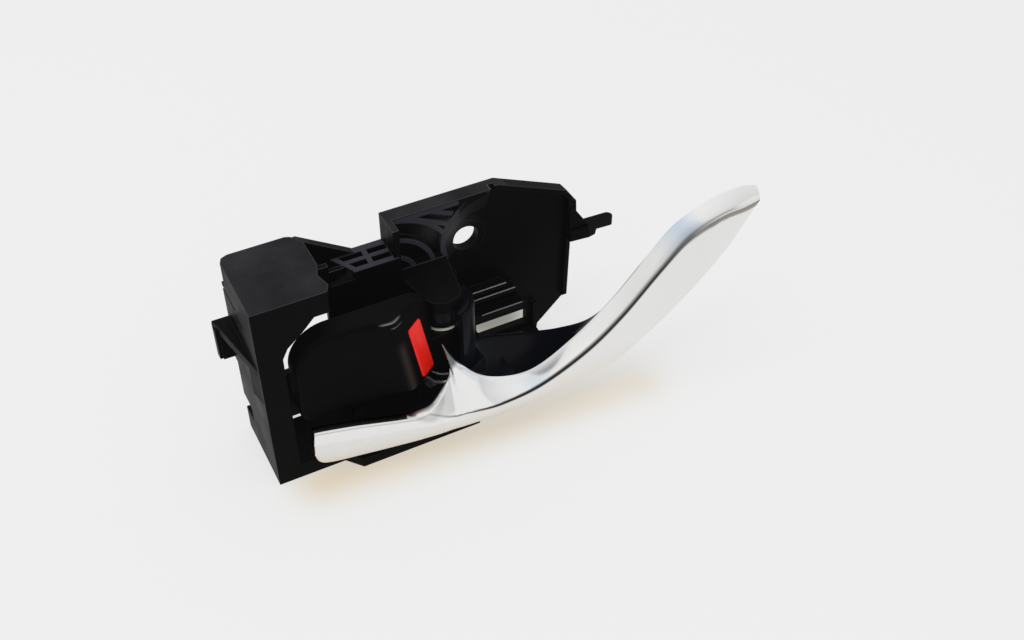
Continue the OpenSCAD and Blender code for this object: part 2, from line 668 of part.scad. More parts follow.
module lever_core() {
    low_room = spring_low - 0.4;
    crank = 9;
    color([0.04, 0.045, 0.07]) difference() {
        union() {
            lever_arm();
            difference() {
                union() {
                    pin_axis(hub_low) cylinder(r = hub_r, h = low_room - hub_low);
                    drum_sector(low_room - 0.5, ear_top, hub_r - 1, hub_r + 1.2);
                    tail_backing();
                    arm_root();
                    // Crank for the release cable
                    translate([0, 0, hub_low]) linear_extrude(4.4) hull() {
                        translate([pivot_x, pivot_y]) circle(r = 5);
                        translate([pivot_x, pivot_y + crank]) circle(r = 3.2);
                    }
                }
                // Room for the spring and for the knob's sleeve
                pin_axis(low_room) cylinder(r = hub_r - 0.4, h = ear_low - low_room);
            }
            // Narrow part of the lower hub inside the spring, and the upper ear
            pin_axis(low_room - 0.5) cylinder(r = bush_r + 1.2, h = hub_low_top - low_room + 0.5);
            pin_axis(ear_low) cylinder(r = ear_r, h = ear_t);
            drum_sector(ear_low, ear_top, bush_r + 1, hub_r);
        }
        pin_axis(-over) cylinder(r = bush_r, h = housing_h);
        // Holes for the cable's end and for the spring's end
        translate([pivot_x, pivot_y + crank, -over]) cylinder(r = 1.5, h = hub_low_top);
        pin_axis(low_room - spring_hole - 0.2) translate([0, spring_r, 0])
            cylinder(r = wire_d / 2 + 0.15, h = spring_hole + over);
        screw_places() {
            cylinder(r = 1.2, h = 10);
            translate([0, 0, screw_seat]) cylinder(r = 2.3, h = 10);
        }
    }
}

module cover_screws() {
    color(steel) screw_places() {
        cylinder(r = 0.88, h = screw_seat + 0.4);
        translate([0, 0, screw_seat + 0.02]) difference() {
            cylinder(r = 2, h = 1.3);
            translate([-1.4, -0.25, 0.7]) cube([2.8, 0.5, 2]);
            translate([-0.25, -1.4, 0.7]) cube([0.5, 2.8, 2]);
        }
    }
}

// Knob

// Plan of the knob's front: flat, a soft swell, then the slanted side that carries the red insert.
side_x = 39.6;
side_y = -3.6;
side_turn = 31.2;
side_start = [side_x - 2.4 + 3 * sin(side_turn), side_y + 3 - 3 * cos(side_turn)];
side_dir = [cos(side_turn), sin(side_turn)];

module knob_plan() {
    polygon(concat(
        [[knob_left - 6, knob_rear], [knob_left - 6, -1.4], [20, -1.2], [30, -1.9]],
        [for (i = [0:4]) let (a = -10 + (side_turn + 10) * i / 4) [side_x - 2.4 + 3 * sin(a), side_y + 3 - 3 * cos(a)]],
        [side_start + 15 * side_dir, [side_start[0] + 15 * side_dir[0], knob_rear]]));
}

module knob_outline(inset) {
    r = 6.5;
    offset(delta = -inset) hull() {
        translate([knob_left + knob_corner, knob_top - knob_corner]) circle(r = knob_corner);
        translate([knob_left + 3, knob_low + 3]) circle(r = 3);
        translate([knob_right - r, knob_top - r]) circle(r = r);
        translate([knob_right - 1.2, knob_low + 2.6]) circle(r = 2.6);
    }
}

module leaning() {
    translate([side_x, 0, (knob_top + knob_low) / 2]) rotate([0, -knob_lean, 0])
        translate([-side_x, 0, -30]) children();
}

module knob_solid() {
    intersection() {
        leaning() linear_extrude(60) knob_plan();
        upright(-8, knob_rear) knob_outline(0);
    }
}

// The red insert's middle on the slanted side, with y = 0 on the side's surface
module red_place() {
    spot = side_start + 5.7 * side_dir;
    leaning() translate([spot[0], spot[1], 30 - 2.7]) rotate([0, -1.8, side_turn]) children();
}

module lock_knob() {
    color(black) difference() {
        knob_solid();
        // Hollow from behind
        difference() {
            intersection() {
                translate([0, knob_wall, 0]) knob_solid();
                upright(-8, 8) knob_outline(knob_wall);
            }
            block([side_x - 4, -8, knob_low], [side_x - 4 + rib_t, 1.9, knob_top]);
        }
        // Seat of the red insert
        red_place() translate([-red_w / 2 - 0.05, -over, -red_l / 2 - 0.05])
            cube([red_w + 0.1, over + 0.72, red_l + 0.1]);
        // Shallow thumb dish
        translate([24, -21.3, 36]) sphere(r = 20.6, $fn = 96);
        // Room for the carrier's web and sleeve
        block([side_x + 3.6, 1.6, knob_low - over], [knob_right + 4, 8, sleeve_top + 0.2]);
    }
}

module lock_indicator() {
    color([0.85, 0.12, 0.07]) red_place() translate([-red_w / 2, -0.45, -red_l / 2])
        cube([red_w, 1.15, red_l]);
}

module knob_carrier() {
    web_low = sleeve_low + 5.2;
    inner_low = knob_low + knob_wall + 0.9;
    cable_end = [pivot_x + 1.5, pivot_y + 8.6];
    color([0.1, 0.1, 0.1]) difference() {
        union() {
            pin_axis(sleeve_low) cylinder(r = sleeve_r, h = sleeve_top - sleeve_low);
            // Web from the sleeve to the inside of the knob
            block([side_x + 4, 2.3, web_low], [pivot_x - 1, 6, sleeve_top - 0.2]);
            block([side_x - 12, 2.2, inner_low], [side_x + 5, knob_rear, sleeve_top - 0.2]);
            block([side_x - 16, 1.1, inner_low], [side_x - 11, knob_rear, sleeve_top + 6]);
            // Crank for the lock cable
            translate([0, 0, web_low]) linear_extrude(3.4) hull() {
                translate([pivot_x, pivot_y]) circle(r = 4.4);
                translate(cable_end) circle(r = 2.6);
            }
            // Lobe that the leaf spring's nose rests on
            translate([0, 0, web_low + 5.2]) linear_extrude(3) hull() {
                translate([pivot_x, pivot_y]) circle(r = 4.4);
                translate([pivot_x - 4.95, pivot_y + 8.92]) circle(r = 1.2);
            }
        }
        pin_axis(-over) cylinder(r = bore_r, h = housing_h);
        translate(cable_end) cylinder(r = 1.2, h = housing_h);
    }
}

place() housing();
place() pivot_pin();
place() pin_clip();
place() lever_return_spring();
place() knob_detent_spring();
place() lever_rest_pad();
place() lever_stop_pad();
place() knob_rest_pad();
place() pull_lever();
place() lever_core();
place() lever_bush_lower();
place() lever_bush_upper();
place() thrust_washer_lower();
place() thrust_washer_upper();
place() cover_screws();
place() knob_carrier();
place() lock_knob();
place() lock_indicator();
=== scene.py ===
import math

import bpy
import numpy as np
from mathutils import Matrix


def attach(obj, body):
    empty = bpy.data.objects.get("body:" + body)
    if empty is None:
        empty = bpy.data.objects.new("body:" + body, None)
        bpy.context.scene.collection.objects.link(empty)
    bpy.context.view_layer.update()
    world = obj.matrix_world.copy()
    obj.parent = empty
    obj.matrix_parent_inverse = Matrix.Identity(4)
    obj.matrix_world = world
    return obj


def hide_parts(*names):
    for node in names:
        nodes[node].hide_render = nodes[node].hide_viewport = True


# Car interior door handle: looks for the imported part. Lengths are given in millimetres in the
# housing's own corner frame, as in the part's source, and moved to the shared frame in metres.

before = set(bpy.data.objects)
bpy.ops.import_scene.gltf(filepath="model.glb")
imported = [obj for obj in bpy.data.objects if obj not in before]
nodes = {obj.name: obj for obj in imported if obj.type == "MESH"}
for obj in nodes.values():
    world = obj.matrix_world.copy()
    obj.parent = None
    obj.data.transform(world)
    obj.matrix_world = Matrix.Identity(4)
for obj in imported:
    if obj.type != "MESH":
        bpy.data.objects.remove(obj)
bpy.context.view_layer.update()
mm = 0.001
cornerToFrame = np.array([68.5, 25.0, 46.0])
floorHeight = -0.046


def toFrame(points):
    # Housing corner frame in millimetres to the shared frame in metres
    return (np.asarray(points, float) - cornerToFrame) * mm


def stageDone(words):
    print("stage:", words)


# Camera, from the photograph's vanishing points: the block's front lower corner is at cornerPixel,
# depth millimetres in front of the camera. Angles are in degrees, nearest is in metres.
view = {"azimuth": -27.49, "elevation": 42.97, "roll": 0.14, "focalPixels": 1271.0,
        "widthPixels": 1024, "centre": (512, 320), "cornerPixel": (280.4, 484.9), "depth": 350.0,
        "sensorWidth": 36, "nearest": 0.01}


def placeCamera():
    a, e, r = (math.radians(view[k]) for k in ("azimuth", "elevation", "roll"))
    back = np.array([math.sin(a) * math.cos(e), -math.cos(a) * math.cos(e), math.sin(e)])
    right = np.cross(-back, [0, 0, 1])
    right /= np.linalg.norm(right)
    up = np.cross(right, -back)
    right, up = right * math.cos(r) + up * math.sin(r), up * math.cos(r) - right * math.sin(r)
    perPixel = view["depth"] / view["focalPixels"]
    across, down = ((p - c) * perPixel for p, c in zip(view["cornerPixel"], view["centre"]))
    spot = toFrame(-(right * across - up * down - back * view["depth"]))
    data = bpy.data.cameras.new("camera")
    data.sensor_width = view["sensorWidth"]
    data.lens = view["focalPixels"] * view["sensorWidth"] / view["widthPixels"]
    data.clip_start = view["nearest"]
    cam = bpy.data.objects.new("camera", data)
    cam.matrix_world = Matrix([[right[i], up[i], back[i], spot[i]] for i in range(3)] + [[0, 0, 0, 1]])
    bpy.context.collection.objects.link(cam)
    bpy.context.scene.camera = cam


placeCamera()


# Materials

def newMaterial(name, base, roughness, metallic=0.0, specular=0.5):
    mat = bpy.data.materials.new(name)
    mat.use_nodes = True
    shader = mat.node_tree.nodes["Principled BSDF"]
    shader.inputs["Base Color"].default_value = (*base, 1)
    shader.inputs["Roughness"].default_value = roughness
    shader.inputs["Metallic"].default_value = metallic
    shader.inputs["Specular IOR Level"].default_value = specular
    return mat, mat.node_tree, shader


def setGlow(shader, colour, strength):
    shader.inputs["Emission Color"].default_value = (*colour, 1)
    shader.inputs["Emission Strength"].default_value = strength


def mathNode(tree, kind, a, b=None, clamp=False):
    n = tree.nodes.new("ShaderNodeMath")
    n.operation = kind
    n.use_clamp = clamp
    for i, v in enumerate((a, b)):
        if v is None:
            continue
        if isinstance(v, (int, float)):
            n.inputs[i].default_value = v
        else:
            tree.links.new(v, n.inputs[i])
    return n.outputs[0]


def product(tree, first, *others, clamp=False):
    # Product of all values, the whole of it clamped to 0..1 on demand
    for v in others[:-1]:
        first = mathNode(tree, "MULTIPLY", first, v)
    return mathNode(tree, "MULTIPLY", first, others[-1], clamp)


def falloff(tree, far):
    # exp(-far^2): 1 in the middle and nearly 0 from a distance of twice the reach
    return mathNode(tree, "EXPONENT", product(tree, far, far, -1.0))


def mixColour(tree, factor, a, b):
    n = tree.nodes.new("ShaderNodeMix")
    n.data_type = "RGBA"
    for socket, v in ((n.inputs["Factor"], factor), (n.inputs[6], a), (n.inputs[7], b)):
        if isinstance(v, tuple):
            socket.default_value = (*v, 1)
        elif isinstance(v, (int, float)):
            socket.default_value = v
        else:
            tree.links.new(v, socket)
    return n.outputs[2]


def vectorNode(tree, kind, a, b=None):
    n = tree.nodes.new("ShaderNodeVectorMath")
    n.operation = kind
    for i, v in enumerate((a, b)):
        if v is None:
            continue
        if isinstance(v, (tuple, list, np.ndarray)):
            n.inputs[i].default_value = tuple(float(c) for c in v)
        else:
            tree.links.new(v, n.inputs[i])
    return n.outputs["Value"] if kind in ("DOT_PRODUCT", "DISTANCE", "LENGTH") else n.outputs["Vector"]


def objectPlace(tree):
    return tree.nodes.new("ShaderNodeTexCoord").outputs["Object"]


def attributeOf(tree, name):
    n = tree.nodes.new("ShaderNodeAttribute")
    n.attribute_name = name
    return n.outputs["Fac"]


def axesOf(tree, vector):
    n = tree.nodes.new("ShaderNodeSeparateXYZ")
    tree.links.new(vector, n.inputs[0])
    return n.outputs


def noiseOf(tree, where, scale, detail):
    n = tree.nodes.new("ShaderNodeTexNoise")
    n.inputs["Scale"].default_value = scale
    n.inputs["Detail"].default_value = detail
    tree.links.new(where, n.inputs["Vector"])
    return n.outputs["Fac"]


def mapRange(tree, value, low, high, toLow, toHigh):
    n = tree.nodes.new("ShaderNodeMapRange")
    for name, limit in (("From Min", low), ("From Max", high), ("To Min", toLow), ("To Max", toHigh)):
        n.inputs[name].default_value = limit
    tree.links.new(value, n.inputs["Value"])
    return n.outputs["Result"]


def reachesFrom(tree, where, spot, reach):
    # Distance from a spot, counted along each axis in reaches of so many millimetres
    away = vectorNode(tree, "SUBTRACT", where, spot)
    return vectorNode(tree, "LENGTH", vectorNode(tree, "DIVIDE", away, [c * mm for c in reach]))


def boxMask(tree, where, low, high):
    # 1 inside the box between two corners of the corner frame, 0 outside
    low, high = toFrame(low), toFrame(high)
    offset = vectorNode(tree, "SUBTRACT", where, (low + high) / 2)
    away = axesOf(tree, vectorNode(tree, "ABSOLUTE", offset))
    inside = [mathNode(tree, "LESS_THAN", away[i], float(h)) for i, h in enumerate((high - low) / 2)]
    return product(tree, *inside)


grain = {"fineDetail": 3, "blotchDetail": 4, "bumpDistance": 0.00004, "edgeSamples": 6, "rimGain": 9.0}


def makeGrainGroup():
    # Surface grain for all mouldings: object coordinates in, a bump normal, slow blotches and a rim mask for
    # painted highlights out
    g = bpy.data.node_groups.new("surfaceGrain", "ShaderNodeTree")
    for name, value in (("Scale", 4000.0), ("Strength", 0.1), ("Blotch", 60.0), ("Edge", 0.0003)):
        socket = g.interface.new_socket(name, in_out="INPUT", socket_type="NodeSocketFloat")
        socket.default_value = value
    for name, kind in (("Normal", "Vector"), ("Blotch", "Float"), ("Rim", "Float")):
        g.interface.new_socket(name, in_out="OUTPUT", socket_type="NodeSocket" + kind)
    gi, go = g.nodes.new("NodeGroupInput"), g.nodes.new("NodeGroupOutput")
    where = objectPlace(g)
    bump, edge = g.nodes.new("ShaderNodeBump"), g.nodes.new("ShaderNodeBevel")
    edge.samples = grain["edgeSamples"]
    bump.inputs["Distance"].default_value = grain["bumpDistance"]
    link = g.links.new
    link(gi.outputs["Edge"], edge.inputs["Radius"])
    fine = noiseOf(g, where, 1.0, grain["fineDetail"])
    link(gi.outputs["Scale"], fine.node.inputs["Scale"])
    link(fine, bump.inputs["Height"])
    link(gi.outputs["Strength"], bump.inputs["Strength"])
    link(edge.outputs["Normal"], bump.inputs["Normal"])
    link(bump.outputs["Normal"], go.inputs["Normal"])
    slow = noiseOf(g, where, 1.0, grain["blotchDetail"])
    link(gi.outputs["Blotch"], slow.node.inputs["Scale"])
    link(slow, go.inputs["Blotch"])
    # Rim: how far the rounded normal leaves the true one, times how far it looks up
    true = g.nodes.new("ShaderNodeNewGeometry")
    same = vectorNode(g, "DOT_PRODUCT", edge.outputs["Normal"], true.outputs["True Normal"])
    off = product(g, mathNode(g, "SUBTRACT", 1.0, same), grain["rimGain"], clamp=True)
    link(product(g, off, axesOf(g, edge.outputs["Normal"])["Z"], clamp=True), go.inputs["Rim"])
    return g


grainGroup = makeGrainGroup()


def addGrain(tree, shader, scale, strength, blotch, edge=0.0):
    n = tree.nodes.new("ShaderNodeGroup")
    n.node_tree = grainGroup
    for name, value in (("Scale", scale), ("Strength", strength), ("Blotch", blotch), ("Edge", edge)):
        n.inputs[name].default_value = value
    tree.links.new(n.outputs["Normal"], shader.inputs["Normal"])
    return n.outputs["Blotch"], n.outputs["Rim"]


# Black mouldings: base colour, roughness, specular level and width of the rounded rims in metres, which get
# painted highlights
blacks = {"housingBlack": ((0.0009, 0.0009, 0.001), 0.42, 0.03, 0.00035),
          "knobBlack": ((0.0008, 0.0008, 0.0009), 0.42, 0.022, 0.0),
          "carrierBlack": ((0.0007, 0.0007, 0.0008), 0.5, 0.02, 0.0003)}
# What they share. Heights are in the shared frame in metres: above them the dust with painted light from
# above and the painted rim highlights are fully seen, and below them by the share given as under
black = {"grain": (5200, 0.16, 90), "blotchRange": (0.3, 0.7), "smoother": 0.06, "rougher": 0.08,
         "dustAndTopLightTone": (0.032, 0.031, 0.036), "dustAndTopLightPower": 3.0, "topLightHeight": 0.0142, "topLightUnder": 0.1,
         "rimHighlightTone": (0.085, 0.086, 0.094), "rimHeight": 0.0045, "rimUnder": 0.2,
         "glowTone": (1, 1, 1.05), "glow": 0.0026}

# Painted light on the housing, in the corner frame in millimetres: a painted sheen beside the screw seat,
# painted lit faces (the fronts of the ribs in the upper left of the plate, and the tops of the ribs of the
# deck), and painted glints on the level ribs' front edges. Each of these is given by its two ends and its
# height.
sheen = {"at": (62.0, 20.5, 52.5), "reach": (5.5, 4.5, 4.5), "share": 0.8, "tone": (0.085, 0.08, 0.078)}
litFaces = {"boxes": [((44.4, 20.2, 40.8), (66, 20.6, 61.2)), ((29, 15.2, 52.2), (45.8, 25.2, 52.8))],
        "share": 0.8, "tone": (0.04, 0.04, 0.052)}
ribGlints = {"places": [(64, 80, 26), (61, 83, 23), (61, 69, 16.2), (72, 85.5, 16.2), (52, 58, 24.6),
                   (56, 61, 20.2)],
        "depth": (19.3, 19.8), "rise": (0.45, 1.0), "tone": (0.26, 0.26, 0.25)}
knobHighlightTones = {"warm": (0.03, 0.021, 0.018), "glint": (0.2, 0.2, 0.19)}


def housingPaintedLight(tree, where, colour):
    near = falloff(tree, reachesFrom(tree, where, toFrame(sheen["at"]), sheen["reach"]))
    colour = mixColour(tree, product(tree, near, sheen["share"]), colour, sheen["tone"])
    for low, high in litFaces["boxes"]:
        lit = product(tree, boxMask(tree, where, low, high), litFaces["share"])
        colour = mixColour(tree, lit, colour, litFaces["tone"])
    front, back = ribGlints["depth"]
    foot, head = ribGlints["rise"]
    shine = 0.0
    for x0, x1, z in ribGlints["places"]:
        edge = boxMask(tree, where, (x0, front, z + foot), (x1, back, z + head))
        shine = mathNode(tree, "MAXIMUM", shine, edge)
    return mixColour(tree, shine, colour, ribGlints["tone"])


def mouldedBlack(name):
    base, roughness, specular, edge = blacks[name]
    mat, tree, shader = newMaterial(name, base, roughness, specular=specular)
    blotch, rim = addGrain(tree, shader, *black["grain"], edge)
    tree.links.new(mapRange(tree, blotch, *black["blotchRange"], roughness - black["smoother"],
                            roughness + black["rougher"]), shader.inputs["Roughness"])
    # A trace of dust on faces that look up, with painted light from above: paler and blotchy, full on the
    # topmost faces only
    normal = tree.nodes.new("ShaderNodeNewGeometry").outputs["Normal"]
    up = mathNode(tree, "MAXIMUM", axesOf(tree, normal)["Z"], 0.0)
    where = objectPlace(tree)
    height = axesOf(tree, where)["Z"]
    high = product(tree, mathNode(tree, "GREATER_THAN", height, black["topLightHeight"]), 1 - black["topLightUnder"])
    topmost = mathNode(tree, "ADD", high, black["topLightUnder"])
    dust = product(tree, mathNode(tree, "POWER", up, black["dustAndTopLightPower"]), blotch, topmost, clamp=True)
    colour = mixColour(tree, dust, base, black["dustAndTopLightTone"])
    # Painted highlights on the rounded rims that look up, full above rimHeight
    if edge:
        high = mathNode(tree, "GREATER_THAN", height, black["rimHeight"])
        upper = mathNode(tree, "ADD", high, black["rimUnder"], clamp=True)
        colour = mixColour(tree, product(tree, rim, upper), colour, black["rimHighlightTone"])
    # Painted sheen, lit faces and glints on the housing
    if name == "housingBlack":
        colour = housingPaintedLight(tree, where, colour)
    # Painted highlights on the knob: a warm sheen down the bend and glints on its top edge
    if name == "knobBlack":
        for key, tone in knobHighlightTones.items():
            colour = mixColour(tree, attributeOf(tree, key), colour, tone)
    tree.links.new(colour, shader.inputs["Base Color"])
    # A little light from within stands for the stray light in the folds
    setGlow(shader, black["glowTone"], black["glow"])
    return mat


housingBlack, knobBlack, carrierBlack = (mouldedBlack(name) for name in blacks)

metals = {"steel": ((0.5, 0.51, 0.53), 0.32), "bushMetal": ((0.45, 0.32, 0.16), 0.42)}
steelMat, bushMat = (newMaterial(name, *look, metallic=1.0)[0] for name, look in metals.items())
nylonMat = newMaterial("nylon", (0.62, 0.6, 0.52), 0.5)[0]
rubberMat = newMaterial("rubber", (0.01, 0.01, 0.01), 0.8, specular=0.2)[0]
redMat, redTree, redShader = newMaterial("signalRed", (0.78, 0.018, 0.008), 0.35, specular=0.3)
# A little light from within: a painted glow on the red insert
setGlow(redShader, (0.8, 0.015, 0.008), 0.16)
addGrain(redTree, redShader, 3000, 0.08, 60)

chrome = {"plain": (0.93, 0.925, 0.915), "cool": (0.6, 0.7, 0.82), "spots": (0.66, 0.65, 0.62),
          "spotShare": 0.5, "warm": (0.5, 0.47, 0.4), "dark": (0.008, 0.007, 0.006),
          "glare": (0.76, 0.765, 0.77), "grain": (2600, 0.05, 700), "roughness": 0.14, "hazeRoughness": 0.25}


def chromeMaterial():
    # Bright plating with painted reflections. The attribute tone darkens it (painted reflections of dark
    # things, chiefly the dark room edge mirrored along the ridge, and painted shade on the tail's inner
    # side), cool tints it blue (painted reflection), haze roughens it and darkens it in blotches, warm
    # yellows it (painted warm reflection), and lift replaces what it mirrors by an even glare (painted
    # light).
    mat, tree, shader = newMaterial("chromePlate", chrome["plain"], chrome["roughness"], metallic=1.0)
    blotch = addGrain(tree, shader, *chrome["grain"])[0]
    haze, lift = attributeOf(tree, "haze"), attributeOf(tree, "lift")
    tinted = mixColour(tree, attributeOf(tree, "cool"), chrome["plain"], chrome["cool"])
    spotted = mixColour(tree, product(tree, haze, blotch, chrome["spotShare"]), tinted, chrome["spots"])
    warmReflected = mixColour(tree, attributeOf(tree, "warm"), spotted, chrome["warm"])
    dim = mathNode(tree, "MAXIMUM", attributeOf(tree, "tone"), lift)
    tree.links.new(mixColour(tree, dim, warmReflected, chrome["dark"]), shader.inputs["Base Color"])
    tree.links.new(mixColour(tree, lift, (0.0, 0.0, 0.0), chrome["glare"]), shader.inputs["Emission Color"])
    shader.inputs["Emission Strength"].default_value = 1.0
    rough = mathNode(tree, "ADD", product(tree, haze, chrome["hazeRoughness"]), chrome["roughness"])
    tree.links.new(rough, shader.inputs["Roughness"])
    return mat


# The specks lie round one spot of the scoop, in the corner frame in millimetres. A speck shows where the fine
# noise passes cut, and the slow noise times gain less loss thins them. veil is an even dust added to them.
core = {"base": (0.0014, 0.0016, 0.003), "roughness": 0.28, "specular": 0.08,
        "grain": (900, 0.04, 60, 0.0003), "glowTone": (1, 1, 1.1), "glow": 0.0026,
        "fine": (420, 6), "cut": 0.6, "slow": (70, 2), "gain": 2.4, "loss": 0.8,
        "speckAt": (60.0, 6.0, 22.0), "speckReach": 7.5, "veil": 0.35,
        "dust": (0.02, 0.024, 0.04)}


def coreMaterial():
    # Polished dark moulding with a blue cast and pale dust specks in its scooped top
    mat, tree, shader = newMaterial("coreGloss", core["base"], core["roughness"], specular=core["specular"])
    # A little light from within: painted stray light in the folds
    setGlow(shader, core["glowTone"], core["glow"])
    addGrain(tree, shader, *core["grain"])
    where = objectPlace(tree)
    speck = mathNode(tree, "GREATER_THAN", noiseOf(tree, where, *core["fine"]), core["cut"])
    patch = product(tree, noiseOf(tree, where, *core["slow"]), core["gain"])
    dust = product(tree, speck, mathNode(tree, "SUBTRACT", patch, core["loss"], clamp=True))
    near = falloff(tree, reachesFrom(tree, where, toFrame(core["speckAt"]), (core["speckReach"],) * 3))
    haze = product(tree, mathNode(tree, "ADD", dust, core["veil"]), near, clamp=True)
    tree.links.new(mixColour(tree, haze, core["base"], core["dust"]), shader.inputs["Base Color"])
    return mat


chromeMat, coreMat = chromeMaterial(), coreMaterial()
nodeFinish = [(housingBlack, "housing"), (carrierBlack, "knob_carrier"), (knobBlack, "lock_knob"),
              (redMat, "lock_indicator"), (chromeMat, "pull_lever"), (coreMat, "lever_core"),
              (steelMat, "pivot_pin pin_clip lever_return_spring knob_detent_spring cover_screws"),
              (rubberMat, "lever_rest_pad lever_stop_pad knob_rest_pad"),
              (bushMat, "lever_bush_lower lever_bush_upper"),
              (nylonMat, "thrust_washer_lower thrust_washer_upper")]
for mat, names in nodeFinish:
    for name in names.split():
        slots = nodes[name].data.materials
        slots.clear()
        slots.append(mat)
stageDone("materials")


# Mesh helpers

def buildMesh(name, verts, quads, caps, attributes, sharp):
    # verts in the corner frame in millimetres, quads as rows of four indices, caps as index lists. Edges
    # sharper than sharp degrees stay sharp.
    sizes = np.concatenate([np.full(len(quads), 4), [len(c) for c in caps]]).astype(np.int32)
    loops = np.concatenate([np.asarray(quads).ravel()] + [np.asarray(c) for c in caps]).astype(np.int32)
    mesh = bpy.data.meshes.new(name)
    mesh.vertices.add(len(verts))
    mesh.vertices.foreach_set("co", toFrame(verts).astype(np.float32).ravel())
    mesh.loops.add(len(loops))
    mesh.loops.foreach_set("vertex_index", loops)
    mesh.polygons.add(len(sizes))
    mesh.polygons.foreach_set("loop_start", np.concatenate([[0], np.cumsum(sizes)[:-1]]).astype(np.int32))
    mesh.update(calc_edges=True)
    mesh.validate()
    mesh.polygons.foreach_set("use_smooth", np.ones(len(mesh.polygons), bool))
    mesh.set_sharp_from_angle(angle=math.radians(sharp))
    for key, values in attributes.items():
        layer = mesh.attributes.new(key, "FLOAT", "POINT")
        layer.data.foreach_set("value", np.asarray(values, np.float32).ravel())
    obj = bpy.data.objects.new(name, mesh)
    bpy.context.collection.objects.link(obj)
    return obj


def ringQuads(rows, cols, flip=False):
    # Quads between rows of closed rings
    i, k = np.meshgrid(np.arange(rows - 1), np.arange(cols), indexing="ij")
    k2 = (k + 1) % cols
    q = np.stack([i * cols + k, (i + 1) * cols + k, (i + 1) * cols + k2, i * cols + k2], -1).reshape(-1, 4)
    return q[:, ::-1] if flip else q


def joinShells(name, shells, sharp):
    # Several closed shells as one piece
    verts, quads, caps, count = [], [], [], 0
    for v, q, c in shells:
        verts.append(v)
        quads.append(np.asarray(q) + count)
        caps += [np.asarray(k) + count for k in c]
        count += len(v)
    return buildMesh(name, np.concatenate(verts), np.concatenate(quads), caps, {}, sharp)


def ringShell(rings, flip=False):
    rows, cols = rings.shape[:2]
    first, last = np.arange(cols), (rows - 1) * cols + np.arange(cols)
    caps = [first[::-1], last] if flip else [first, last[::-1]]
    return rings.reshape(-1, 3), ringQuads(rows, cols, flip), caps


def movedIn(outline, d):
    # Each point moves in by d / (1 + n1.n2) along n1 + n2, the normals of its two edges
    edge = np.roll(outline, -1, 0) - outline
    n = np.stack([edge[:, 1], -edge[:, 0]], 1) / np.linalg.norm(edge, axis=1)[:, None]
    m = np.roll(n, 1, 0)
    return outline - d * (n + m) / (1 + (n * m).sum(1))[:, None]


def prism(outline, low, high, r=0.3):
    # Upright prism over a counterclockwise outline, its rims rounded by r
    outline, turn = np.asarray(outline, float), np.radians([0, 45, 90])
    levels = [(low + r * (1 - math.cos(t)), r * (1 - math.sin(t))) for t in turn]
    levels += [(high - (z - low), d) for z, d in levels[::-1]]
    rings = [np.column_stack([movedIn(outline, d), np.full(len(outline), z)]) for z, d in levels]
    return ringShell(np.stack(rings), True)


def turnedPiece(centre, inner, outer, low, high, start=0.0, sweep=360.0, steps=72, c=0.3):
    # Ring or part of a ring round an upright axis, with a bevelled section
    section = np.array([[inner + c, low], [outer - c, low], [outer, low + c], [outer, high - c],
                        [outer - c, high], [inner + c, high], [inner, high - c], [inner, low + c]])
    whole = sweep >= 360
    a = np.radians(start + sweep * np.arange(steps if whole else steps + 1) / steps)[:, None]
    rings = np.stack([centre[0] + section[:, 0] * np.cos(a), centre[1] + section[:, 0] * np.sin(a),
                      np.broadcast_to(section[:, 1], (len(a), 8))], -1)
    verts, quads, caps = ringShell(rings)
    if whole:
        return verts, ringQuads(steps + 1, 8) % (steps * 8), []
    return verts, quads, caps


def roundPath(points, r, steps=6):
    # Outline with its corners rounded: quadratic curves between two points up to r before and after a corner
    points, out = np.asarray(points, float), []
    for i, p in enumerate(points):
        before, after = points[i - 1] - p, points[(i + 1) % len(points)] - p
        cut = min(r, 0.45 * np.linalg.norm(before), 0.45 * np.linalg.norm(after))
        a, b = p + before / np.linalg.norm(before) * cut, p + after / np.linalg.norm(after) * cut
        t = np.linspace(0, 1, steps)[:, None]
        out.append((1 - t)**2 * a + 2 * t * (1 - t) * p + t**2 * b)
    return np.concatenate(out)


def loftMesh(name, rings, attributes, sharp):
    return buildMesh(name, *ringShell(rings), attributes, sharp)


def smoothCurve(keys, at):
    # Catmull-Rom through keys (first axis), at positions counted in keys
    keys = np.asarray(keys, float)
    n = len(keys) - 1
    k = np.minimum(np.floor(at).astype(int), n - 1)
    t = (at - k).reshape(-1, *([1] * (keys.ndim - 1)))
    p0, p1, p2, p3 = keys[np.maximum(k - 1, 0)], keys[k], keys[k + 1], keys[np.minimum(k + 2, n)]
    return 0.5 * (2 * p1 + t * (p2 - p0) + t**2 * (2 * p0 - 5 * p1 + 4 * p2 - p3)
                  + t**3 * (3 * p1 - p0 - 3 * p2 + p3))


def ease(x, low, high):
    t = np.clip((x - low) / (high - low), 0, 1)
    return t * t * (3 - 2 * t)
